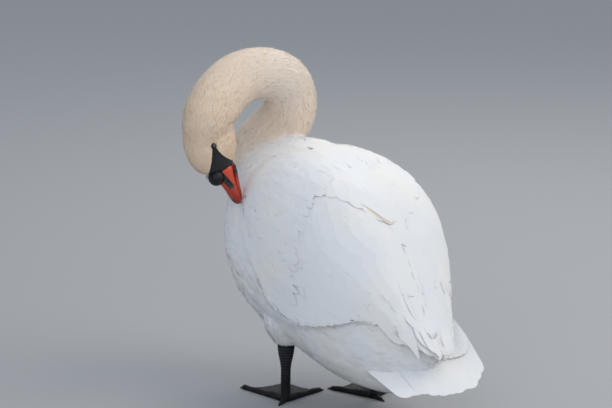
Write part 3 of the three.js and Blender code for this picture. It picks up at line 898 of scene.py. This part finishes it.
def shellSpots(side, y, angle):
    level = shellMiddle(y)
    rise = np.sign(np.cos(angle)) * np.abs(np.cos(angle)) ** shellSet["squareness"]
    groove = shellSet["groove"] * easeStep(*shellSet["grooveY"], y)
    groove = groove * np.exp(-((angle / shellSet["grooveAngle"]) ** 2))
    height = level + (shellTop(y) - level) * rise - groove
    return np.stack([side * shellWidth(y) * np.sin(angle), y, height], axis=-1)


def shellFrame(side, y, angle, small=0.01):
    downwards = shellSpots(side, y, angle + small) - shellSpots(side, y, angle - small)
    backwards = shellSpots(side, y + 1, angle) - shellSpots(side, y - 1, angle)
    return unit(np.cross(downwards, backwards)) * side


# how sharply the shell curves across, one over its radius in metres
def shellBend(side, y, angle, reach=0.07):
    turned = shellFrame(side, y, angle + reach) - shellFrame(side, y, angle - reach)
    moved = shellSpots(side, y, angle + reach) - shellSpots(side, y, angle - reach)
    bend = (turned * moved).sum(axis=-1) / np.maximum((moved**2).sum(axis=-1), 1) * 1000
    return np.clip(bend, *shellSet["bends"])


def shellPath(side, roots, tips):
    t = np.linspace(0, 1, shellSet["stations"])
    y, angle = (roots[:, k, None] * (1 - t) + tips[:, k, None] * t for k in range(2))
    normals = shellFrame(side, y, angle)
    swell = np.sqrt(np.clip(np.sin(np.pi * np.clip(angle / shellSet["fleshAngle"], 0, 1)), 0, 1))
    flesh = shellSet["vane"] + shellSet["flesh"] * (1 - easeStep(*shellSet["fleshEnd"], y)) * swell
    return place(shellSpots(side, y, angle) + normals * flesh[..., None]), normals, shellBend(side, y, angle)


flightVane = roundedVane(0.88, 0.75, camber=0.03, shaft=0.010, dip=0.05)
broadVane = roundedVane(0.72, 0.6, camber=0.03, shaft=0.005, dip=0.05)
tailVane = roundedVane(0.84, 0.5, 0.2, 2.6, camber=0.03, shaft=0.008, dip=0.04)


# evenly spaced places along a bent line
def along(line, count):
    line = np.array(line, float)
    at = np.linspace(0, len(line) - 1, count)
    return np.column_stack([np.interp(at, np.arange(len(line)), column) for column in line.T])


wingKeys = ("line", "count", "root", "half", "low", "high", "roll", "stagger", "loose")
wingRows = {
    # tips along a line of (Y, angle), how many, the root's offset from the tip, half width, heights at root
    # and tip, roll (one edge over the next), how far the tips stagger, looseness
    "primaries": ([(338, 1.42), (366, 1.1), (384, 0.5)], 6, (-150, -0.35), 16, -3.5, -1.3, 0.45, 2, 0.4),
    "secondaries": ([(84, 1.68), (130, 1.69), (200, 1.63), (290, 1.48), (345, 1.15), (372, 0.55)], 17,
                    (-185, -0.44), 19, -3.4, -0.8, 0.5, 2, 0.25),
    "tertials": ([(318, 1.02), (334, 0.78), (346, 0.55), (350, 0.34), (344, 0.16)], 6, (-215, 0.06), 24,
                 -2.6, 0.5, 0.6, 5, 0.2),
    "greater": ([(70, 1.63), (115, 1.52), (165, 1.34), (215, 1.06), (250, 0.78)], 14, (-88, -0.32), 17, -3.4,
                0.0, 0.55, 4, 0.6),
    "median": ([(30, 1.55), (80, 1.4), (130, 1.18), (180, 0.9)], 13, (-60, -0.24), 16, -3.2, 0.4, 0.55, 8,
               1.0),
    "scapulars1": ([(66, 1.04), (100, 0.88), (132, 0.74), (172, 0.6), (214, 0.46), (232, 0.28), (238, 0.12)],
                   13, (-92, -0.1), 22, -2.8, 0.7, 0.6, 9, 0.4),
    "scapulars2": ([(28, 0.96), (70, 0.78), (110, 0.62), (150, 0.45), (176, 0.28), (184, 0.12)], 12,
                   (-90, -0.08), 22, -2.4, 0.7, 0.6, 16, 0.3),
    "scapulars3": ([(-10, 0.86), (30, 0.68), (66, 0.5), (100, 0.34), (120, 0.12)], 11, (-84, -0.05), 22,
                   -2.4, 0.7, 0.6, 16, 0.3),
    "mantle": ([(48, 0.02), (105, 0.02), (160, 0.02), (215, 0.02), (268, 0.02)], 8, (-100, 0.0), 23, -1.6,
               1.3, -0.8, 3, 0.3),
    "centre": ([(318, 0.02), (374, 0.02)], 3, (-120, 0.0), 19, -3.5, -2.2, -0.8, 0, 0.2),
}
wingGroups = {name: dict(zip(wingKeys, row)) for name, row in wingRows.items()}
# the last rows of the covers sink out of sight, and some of the shoulder feathers stand higher on the left
wingGroups["greater"]["faded"] = 2.2
wingGroups["median"]["faded"] = 2.2
wingGroups["scapulars1"]["raised"] = ([0, 3, 5, 9, 11, 12], [0.5, 0.3, -0.1, 0, 0.3, 0.1])
vaneSet = {
    "lifts": [0, 0.42, 0.72, 0.88, 0.60], "thickness": 0.0003, "calm": 0.94, "fray": 0.1, "swing": 0.0016,
    "leastAngle": 0.04, "leastY": -110, "flight": ("primaries", "secondaries", "tertials"),
}
vanePlumage = plumageMaterial("vanePlumage", 500.0)


def shellVanes(name, side, item, template):
    count = item["count"]
    tips = along(item["line"], count)
    tips[:, 0] += rng.uniform(-1, 1, count) * item["stagger"]
    roots = tips + np.array(item["root"])
    roots[:, 1] = np.maximum(roots[:, 1], vaneSet["leastAngle"])
    roots[:, 0] = np.maximum(roots[:, 0], vaneSet["leastY"])
    spots, normals, bends = shellPath(side, roots, tips)
    low = item["low"] + rng.normal(0, 0.2, count)
    high = item["high"] + rng.normal(0, 0.6 * item["loose"], count)
    if side > 0 and "raised" in item:
        high += np.interp(np.arange(count), *item["raised"])
    if "faded" in item:
        faded = np.interp(np.arange(count), [count - 4, count - 1], [0, item["faded"]])
        low, high = low - faded, high - faded
    sunk = shellSet["sunk"] * np.exp(-((tips[:, 1] / shellSet["sunkAngle"]) ** 2))
    lifts = low[:, None] + (high - low)[:, None] * np.array(vaneSet["lifts"]) - 0.8 * sunk[:, None]
    rolls = -side * (item["roll"] + sunk + rng.normal(0, 0.25 * item["loose"], count)) * 0.001
    half = item["half"] * rng.uniform(0.93, 1.07, count) * 0.001
    swings = rng.normal(0, vaneSet["swing"] * item["loose"], count)
    made = vaneMesh(name, spots, normals, half, template, lifts * 0.001, vaneSet["thickness"], rolls,
                    swings=swings, crisp=True, calm=vaneSet["calm"], fray=vaneSet["fray"], bends=bends)
    finish(made, "plumage", vanePlumage)


for side, word in ((1, "left"), (-1, "right")):
    for key, item in wingGroups.items():
        if key not in ("mantle", "centre") or side > 0:
            shellVanes(f"{key}_{word}", side, item, flightVane if key in vaneSet["flight"] else broadVane)

# Odd feathers that stand out from the rows: a pointed one below the left wing's rear edge, and a lifted edge
# with a shaded feather under it at the rear of the left shoulder feathers, whose warm buff tint is painted
# shade.
oddSet = {
    "pointed": [(72, 300, 236), (64, 325, 216), (53, 348, 192), (45, 362, 156)], "pointedHalf": 0.015,
    "pointedOut": (0.75, 0.42, 0.5), "pointedLifts": [-0.004, 0, 0.001, 0.001, 0], "stations": 10,
    "thickness": 0.0004,
    # root and tip as (Y, angle), half width in metres, heights and roll in millimetres, share of the buff
    # (on the shaded feather the buff is painted warm shade)
    "lifted": ((178, 0.517), (239, 0.05), 0.021, [-3, 0.8, 2.0, 2.6, 1.4], -1.4, 0.0),
    "shaded": ((181, 0.564), (242, 0.097), 0.017, [-4, -0.5, 0.9, 1.3, 0.5], -0.5, 0.7),
}
pointedVane = vaneTemplate([0, 0.2, 0.4, 0.6, 0.75, 0.88, 1.0], 7,
                           [(0, 0.7), (0.35, 1), (0.6, 0.82), (0.8, 0.45), (1, 0.05)], camber=0.05,
                           shaft=0.02)
line = place(along(oddSet["pointed"], oddSet["stations"]))[None]
outward = np.broadcast_to(unit(np.array(oddSet["pointedOut"])), line.shape)
made = vaneMesh("pointed_feather", line, outward, oddSet["pointedHalf"], pointedVane,
                np.array([oddSet["pointedLifts"]]), oddSet["thickness"], crisp=True)
finish(made, "plumage", vanePlumage)
for key in ("lifted", "shaded"):
    root, tip, half, lifts, roll, tone = oddSet[key]
    spots, normals, bends = shellPath(1, np.array([root], float), np.array([tip], float))
    # the buff share on the shaded feather paints warm shade into its colour
    made = vaneMesh(f"{key}_feather", spots, normals, half, broadVane, np.array([lifts]) * 0.001,
                    oddSet["thickness"], roll * 0.001, np.array([tone]), crisp=True, bends=bends)
    finish(made, "plumage", vanePlumage)
print("wings")

# Tail
tailSet = {
    "roots": [(93, 232, 146), (60, 236, 172), (0, 246, 186), (-60, 262, 190), (-88, 296, 196)],
    "tips": [(68, 364, 92), (42, 378, 88), (10, 390, 84), (-31, 396, 79), (-70, 390, 86), (-98, 376, 110)],
    "dome": 14, "feathers": 12, "shares": (0.04, 0.96), "rootShare": -0.15, "shorter": 0.045, "half": 0.023,
    "thickness": 0.0003, "roll": 0.0003, "lifts": [-2, -1, 0, 0.1, 0.1],
    # the middle feather lies on top, and the outermost on the left and right sink a little further
    "slope": 7.0, "outer": [(-1.8, 0.0, 0.26), (-1.2, 0.86, 1.0)], "bends": (-10, 25),
}
covertSet = {
    "count": 11, "shares": (0.24, 0.92), "run": (-0.35, 0.60), "bendRun": (-0.35, 0.62), "half": 0.023,
    "thickness": 0.0004, "lifts": [-3, 0, 2.2, 3.0, 2.6],
}


def smoothLine(points):
    points = np.array(points, float)
    at = np.linspace(0, 1, len(points))
    curves = [smoothThrough(np.column_stack([at, column])) for column in points.T]
    return lambda t: np.column_stack([curve(t) for curve in curves])


def tailSpots(shares, t):
    roots, tips = (smoothLine(tailSet[key])(shares) for key in ("roots", "tips"))
    spots = roots[:, None] * (1 - t) + tips[:, None] * t
    spots[..., 2] += tailSet["dome"] * np.sin(np.pi * t[..., 0]) * np.sin(np.pi * shares)[:, None]
    return spots


# High may be one share of the tail's length or one for each feather.
def tailPath(shares, low, high, stations=9):
    t = np.linspace(low, np.broadcast_to(high, len(shares)), stations, axis=-1)[..., None]
    spots = tailSpots(shares, t)
    across = tailSpots(np.minimum(shares + 0.02, 1), t) - tailSpots(np.maximum(shares - 0.02, 0), t)
    normals = unit(np.cross(np.gradient(spots, axis=1), across))
    return place(spots), normals


# how sharply the tail curves across, one over its radius in metres
def tailBend(shares, low, high, reach=0.06):
    (spotsBefore, before), (spotsAfter, after) = (
        tailPath(np.clip(shares + move, 0, 1), low, high) for move in (-reach, reach))
    moved = spotsAfter - spotsBefore
    bend = ((after - before) * moved).sum(axis=-1) / np.maximum((moved**2).sum(axis=-1), 1e-6)
    return np.clip(bend, *tailSet["bends"])


count = tailSet["feathers"]
shares = np.linspace(*tailSet["shares"], count)
reaches = 1 - rng.uniform(0.0, tailSet["shorter"], count)
spots, normals = tailPath(shares, tailSet["rootShare"], reaches)
rises = -tailSet["slope"] * np.abs(shares - 0.5)
for drop, low, high in tailSet["outer"]:
    rises = rises + drop * ((shares > low) & (shares < high))
lifts = (rises[:, None] + np.array(tailSet["lifts"])) * 0.001
rolls = np.clip((shares - 0.5) * 4, -1, 1) * tailSet["roll"]
made = vaneMesh("tail_feathers", spots, normals, tailSet["half"], tailVane, lifts, tailSet["thickness"],
                rolls, crisp=True, calm=0.95, bends=tailBend(shares, tailSet["rootShare"], reaches))
finish(made, "plumage", vanePlumage, ["tail"])
shares = np.linspace(*covertSet["shares"], covertSet["count"])
spots, normals = tailPath(shares, *covertSet["run"])
made = vaneMesh("tail_coverts", spots, normals, covertSet["half"], broadVane,
                np.array([covertSet["lifts"]]) * 0.001, covertSet["thickness"], crisp=True,
                bends=tailBend(shares, *covertSet["bendRun"]))
finish(made, "plumage", vanePlumage)
print("tail")

# Eyes and lids
eyeSet = {
    "radius": 0.0058, "lidRadius": 0.0064, "lidFlat": 0.93, "lidEdge": 0.0007, "opening": (0.0053, 0.0039),
    "side": 0.0315, "back": 0.003, "turnIns": (0.7, -0.1), "turnIn": 0.95,
    "colours": ((0.020, 0.010, 0.006), (0.007, 0.005, 0.004)),
}
blackSet = {"colours": ((0.004, 0.004, 0.005), (0.016, 0.016, 0.018)), "grain": 900.0,
            "roughness": (0.34, 0.56)}


def toHead(shell, name):
    shell.transform(headMatrix)
    bmesh.ops.recalc_face_normals(shell, faces=shell.faces)
    made = objectOf(name, shell)
    shadeSmooth(made.data)
    return made


eyeMaterial = newMaterial("darkEye", (0.016, 0.009, 0.006), 0.06, coat=1.0)
w = Wiring(eyeMaterial)
w.colour(w.mix(w.ramp(w.noise(w.objectPlace(), 700.0), 0.3, 0.7), *eyeSet["colours"]))
blackSkin = newMaterial("blackSkin", plumageSet["black"], 0.42, specular=0.35)
w = Wiring(blackSkin)
here = w.objectPlace()
w.colour(w.mix(w.ramp(w.noise(here, 260.0), 0.3, 0.75), *blackSet["colours"]))
w.rough(w.ramp(w.noise(here, 420.0), 0.3, 0.7, *blackSet["roughness"]))
w.bump(w.cells(here, blackSet["grain"]), 0.35, 0.0005)
for side, word in ((1, "left"), (-1, "right")):
    ball = bmesh.new()
    bmesh.ops.create_uvsphere(ball, u_segments=40, v_segments=24, radius=eyeSet["radius"])
    centre = (side * eyeSet["side"], eyeSet["back"], 0)
    bmesh.ops.translate(ball, verts=ball.verts, vec=centre)
    finish(toHead(ball, f"eye_ball_{word}"), "eye", eyeMaterial, [f"eye_{word}"])
    lid = bmesh.new()
    bmesh.ops.create_uvsphere(lid, u_segments=64, v_segments=48, radius=eyeSet["lidRadius"])
    halfLong, halfHigh = eyeSet["opening"]
    seen = [v for v in lid.verts
            if v.co.x * side > 0 and (v.co.y / halfLong) ** 2 + (v.co.z / halfHigh) ** 2 < 1]
    bmesh.ops.delete(lid, geom=seen, context="VERTS")
    border = [edge for edge in lid.edges if edge.is_boundary]
    for vertex in {v for edge in border for v in edge.verts}:
        ring = math.hypot(vertex.co.y / halfLong, vertex.co.z / halfHigh)
        vertex.co.y, vertex.co.z = vertex.co.y / ring, vertex.co.z / ring
        vertex.co *= (eyeSet["lidRadius"] + eyeSet["lidEdge"]) / vertex.co.length
    for reach in eyeSet["turnIns"]:
        turned = bmesh.ops.extrude_edge_only(lid, edges=border)["geom"]
        border = [item for item in turned if isinstance(item, bmesh.types.BMEdge) and item.is_boundary]
        for vertex in {v for edge in border for v in edge.verts}:
            vertex.co.y *= eyeSet["turnIn"]
            vertex.co.z *= eyeSet["turnIn"]
            vertex.co *= (eyeSet["radius"] + eyeSet["lidEdge"] * reach) / vertex.co.length
    bmesh.ops.scale(lid, verts=lid.verts, vec=(1, 1, eyeSet["lidFlat"]))
    bmesh.ops.translate(lid, verts=lid.verts, vec=centre)
    finish(toHead(lid, f"eyelid_{word}"), "black_skin", blackSkin)
print("eyes")

# Bill and knob
billSet = {
    "voxel": 0.0008, "evenings": 5, "nail": -0.114, "nailRise": 0.0006, "nailHalf": (0.0052, 0.0062),
    "nostril": (-0.052, -0.088), "nostrilLevel": (0.0062, -0.0030), "nostrilRadius": 0.0055,
    "nostrilDepth": 0.0011, "slit": (-0.078, -0.0018), "slitStretch": 2.6, "slitDepth": 0.0016,
    "slitWidth": (0.0006, 0.0019), "combGap": 0.0017, "combRise": 0.00022, "combReach": 0.0035,
    "borderY": -0.0485, "blur": 0.0008, "edgeWidth": 0.0028, "edgeBlur": 0.0012, "edgeY": (-0.090, -0.066),
    "edgeLine": (0.128, -0.30, -0.0075), "tip": (0.36, 0.028, 0.014), "orange": (0.66, 0.066, 0.020),
    "orangeY": (-0.125, -0.055), "patches": (0.50, 0.05, 0.012), "black": (0.010, 0.010, 0.011),
}
tomium = smoothThrough([(-128, -7), (-124, -12), (-108, -15), (-90, -18), (-70, -24), (-54, -29),
                        (-40, -26)])
knobSet = {"voxel": 0.0009, "evenings": 6}


def refined(name, nodes, voxel, evenings, grow=0.0002):
    made = evened(remeshed(objectOf(name, mergedCopy(nodes, grow)), voxel), evenings)
    shadeSmooth(made.data)
    return made


def reshaped(thing, moves):
    thing.data.vertices.foreach_set("co", (coordinates(thing.data) + moves).ravel())
    thing.data.update()
    return thing


# how far a place is from the nostril's middle line, in metres
def nostrilShape(local):
    (front, back), (low, high) = billSet["nostril"], billSet["nostrilLevel"]
    t = np.clip((local[:, 1] - front) / (back - front), 0, 1)
    return np.hypot(local[:, 1] - (front + (back - front) * t), local[:, 2] - (low + (high - low) * t))


billTop = refined("bill_top", ["bill_upper"], billSet["voxel"], billSet["evenings"])
local = headLocal(coordinates(billTop.data))
normals = normalsOf(billTop.data)
sideways = easeStep(0.004, 0.008, np.abs(local[:, 0]))
nostril = easeStep(0.001, 0.0058, nostrilShape(local))
slitY, slitZ = billSet["slit"]
slitAway = np.hypot((local[:, 1] - slitY) / billSet["slitStretch"], local[:, 2] - slitZ)
slit = easeStep(*billSet["slitWidth"], slitAway)
hollow = -(billSet["nostrilDepth"] * (1 - nostril) + billSet["slitDepth"] * (1 - slit)) * sideways
nail = 1 - easeStep(billSet["nail"] - 0.001, billSet["nail"] + 0.001, local[:, 1])
nail *= billSet["nailRise"] * (1 - easeStep(*billSet["nailHalf"], np.abs(local[:, 0])))
edge = tomium(local[:, 1] * 1000) * 0.001 - local[:, 2]
combs = np.sin(local[:, 1] * math.tau / billSet["combGap"])
combs *= billSet["combRise"] * (1 - easeStep(0.0, billSet["combReach"], np.abs(edge + 0.001)))
reshaped(billTop, normals * (hollow + nail + combs)[:, None])

billMaterial = newMaterial("billHorn", (0.72, 0.10, 0.02), 0.38, coat=0.15)
w = Wiring(billMaterial)
axes = w.split(w.objectPlace(tuple(headOrigin), tuple(headTurn)))
here = w.objectPlace()
x, y, z = w.math("ABSOLUTE", axes[0]), axes[1], axes[2]
orange = w.mix(w.ramp(y, *billSet["orangeY"]), billSet["tip"], billSet["orange"])
orange = w.mix(w.ramp(w.noise(here, 150.0, 4.0), 0.35, 0.8, 0.0, 0.45), orange, billSet["patches"])
(front, back), (low, high) = billSet["nostril"], billSet["nostrilLevel"]
share = w.math("DIVIDE", w.less(y, front), back - front, clamp=True)
dy = w.less(y, w.both(share, back - front, front))
dz = w.less(z, w.both(share, high - low, low))
away = w.math("SQRT", w.math("ADD", w.times(dy, dy), w.times(dz, dz)))
blur = billSet["blur"]
patch = w.ramp(away, billSet["nostrilRadius"] - blur, billSet["nostrilRadius"] + blur, 1.0, 0.0)
base = w.ramp(y, billSet["borderY"] - blur, billSet["borderY"] + blur)
start, slope, level = billSet["edgeLine"]
above = w.less(z, w.both(w.math("ADD", y, start), slope, level))
width, blur = billSet["edgeWidth"], billSet["edgeBlur"]
rim = w.times(w.ramp(above, width - blur, width + blur, 1.0, 0.0), w.ramp(y, *billSet["edgeY"]))
nailMask = w.times(w.ramp(y, billSet["nail"] - 0.001, billSet["nail"] + 0.001, 1.0, 0.0),
                   w.ramp(x, 0.005, 0.0065, 1.0, 0.0))
w.colour(w.mix(w.most(w.most(patch, base), w.most(rim, nailMask)), orange, billSet["black"]))
w.rough(w.ramp(w.noise(here, 300.0), 0.3, 0.7, 0.30, 0.48))
w.bump(w.noise(here, 520.0, 4.0), 0.25, 0.0005)
finish(billTop, "bill", billMaterial, ["bill_upper"])
billBottom = refined("bill_bottom", ["bill_lower"], billSet["voxel"], billSet["evenings"])
finish(billBottom, "bill", billMaterial, ["bill_lower"])
knob = refined("knob", ["bill_knob"], knobSet["voxel"], knobSet["evenings"])
finish(knob, "black_skin", blackSkin, ["bill_knob"])

# Bristles fan out from the root of the knob.
bristleSet = {
    "count": 18, "start": (0.012, -0.047, 0.0245), "arch": 0.004, "run": 0.0085, "half": 0.0006,
    "droop": 0.002, "thickness": 0.0004, "out": (0.0, 0.3, 1.0),
}
count = bristleSet["count"]
across = rng.uniform(-1, 1, count)
wide, back, level = bristleSet["start"]
start = np.column_stack([across * wide, back + rng.uniform(-0.001, 0.001, count),
                         level - bristleSet["arch"] * across**2])
heading = unit(np.column_stack([across * 0.5, rng.uniform(-0.9, -0.2, count),
                                rng.uniform(0.25, 0.9, count)]))
t = np.linspace(0, 1, 4)[None, :, None]
local = start[:, None] + heading[:, None] * t * bristleSet["run"] * rng.uniform(0.6, 1.2, (count, 1, 1))
local[..., 1] -= bristleSet["droop"] * t[..., 0] ** 2
spots = local @ headAxes + np.array(headOrigin)
outward = np.broadcast_to(np.array(bristleSet["out"]) @ headAxes, spots.shape)
finish(vaneMesh("knob_bristles", spots, outward, bristleSet["half"], softTuft, np.zeros((1, 5)),
                bristleSet["thickness"]), "black_skin", blackSkin)
print("bill")

# Legs and feet
legSet = {
    "left": {"ankle": (97, 7), "top": 0.121, "heading": -0.66, "side": 1},
    "right": {"ankle": (-60, 95), "top": 0.084, "heading": -0.45, "side": -1},
}
footSet = {
    "voxel": 0.0014, "evenings": 4, "grow": 0.0003, "spread": 0.74, "toes": (126, 138, 103),
    "scuteGap": 0.0034, "scuteRise": 0.00035, "knuckleRise": 0.0007, "ringGap": 0.0058, "ringRise": 0.0014,
    "ringFaint": 0.35, "webRise": 0.0003, "webWaves": (900, 700, 500), "nailVoxel": 0.0006,
    "nailEvenings": 3, "colours": ((0.0025, 0.0025, 0.003), (0.008, 0.0085, 0.010)),
    # the lighter ring colour is a painted highlight on the crests of the leg's scale rings
    "ring": (0.030, 0.032, 0.036), "dust": (0.07, 0.06, 0.05), "roughness": (0.40, 0.62),
}
legMaterial = newMaterial("legSkin", (0.03, 0.03, 0.032), 0.5, specular=0.18)
w = Wiring(legMaterial)
here = w.objectPlace()
level = w.split(here)[2]
dust = w.ramp(w.noise(here, 40.0, 5.0), 0.45, 0.8)
legColour = w.mix(w.ramp(w.cells(here, 420.0), 0.0, 0.6), *footSet["colours"])
# painted highlight: lighter grey on the crests of the scale rings up the leg
ringHighlight = w.math("ABSOLUTE", w.math("SINE", w.times(level, math.pi / footSet["ringGap"])))
legColour = w.mix(w.times(w.ramp(ringHighlight, 0.45, 1.0), w.ramp(level, 0.03, 0.10)), legColour, footSet["ring"])
w.colour(w.mix(w.times(dust, 0.12), legColour, footSet["dust"]))
w.rough(w.ramp(w.noise(here, 240.0), 0.3, 0.7, *footSet["roughness"]))
w.bump(w.cells(here, 420.0), 0.6, 0.0009)
for word, leg in legSet.items():
    nodes = [f"shank_{word}", f"foot_{word}"]
    foot = refined(f"leg_{word}", nodes, footSet["voxel"], footSet["evenings"], footSet["grow"])
    spots, normals = coordinates(foot.data), normalsOf(foot.data)
    flat, height, facingUp = (spots - place((*leg["ankle"], 0)))[:, :2], spots[:, 2], normals[:, 2]
    moves = np.zeros(len(spots))
    for index, length in enumerate(footSet["toes"]):
        turn = leg["heading"] + (1 - index) * footSet["spread"] * leg["side"]
        direction = np.array([math.sin(turn), -math.cos(turn)])
        run, off = flat @ direction, np.abs(flat @ np.array([direction[1], -direction[0]]))
        onToe = (1 - easeStep(0.004, 0.008, off)) * easeStep(0.012, 0.02, run) * easeStep(0.3, 0.8, facingUp)
        moves += onToe * footSet["scuteRise"] * np.sin(run * math.tau / footSet["scuteGap"])
        knuckles = np.cos(run / (length * 0.001) * math.tau * (3 - 0.5 * (index == 2)))
        onJoint = (1 - easeStep(0.004, 0.009, off)) * easeStep(0.02, 0.03, run)
        moves += onJoint * easeStep(0.0, 0.5, facingUp) * footSet["knuckleRise"] * knuckles
    nearTop = easeStep(leg["top"] - 0.052, leg["top"] - 0.035, height)
    ringed = easeStep(0.016, 0.03, height) * (footSet["ringFaint"] + (1 - footSet["ringFaint"]) * nearTop)
    moves += ringed * footSet["ringRise"] * np.abs(np.sin(height * math.pi / footSet["ringGap"]))
    web = easeStep(0.0, 1.0, 1 - easeStep(0.0026, 0.0042, height)) * easeStep(0.5, 0.9, facingUp)
    a, b, c = footSet["webWaves"]
    moves += web * footSet["webRise"] * np.sin(spots[:, 0] * a) * np.sin(spots[:, 1] * b + spots[:, 0] * c)
    shift = normals * moves[:, None]
    shift[:, 2] = np.maximum(shift[:, 2], -height)  # nothing sinks below the soles
    reshaped(foot, shift)
    finish(foot, "leg", legMaterial, nodes)
    for toe in range(1, 5):
        name = f"{word}_{toe}"
        claw = refined(f"nail_{name}", [f"claw_{name}"], footSet["nailVoxel"], footSet["nailEvenings"],
                       0.0001)
        finish(claw, "black_skin", blackSkin, [f"claw_{name}"])
print("legs")

bpy.data.objects.remove(form)

stageSet = {"halfSize": 30, "colour": (0.40, 0.41, 0.42), "roughness": 0.8}
floorShell = bmesh.new()
bmesh.ops.create_grid(floorShell, x_segments=1, y_segments=1, size=stageSet["halfSize"])
floor = objectOf("floor", floorShell)
floor.data.materials.append(newMaterial("paleFloor", stageSet["colour"], stageSet["roughness"]))
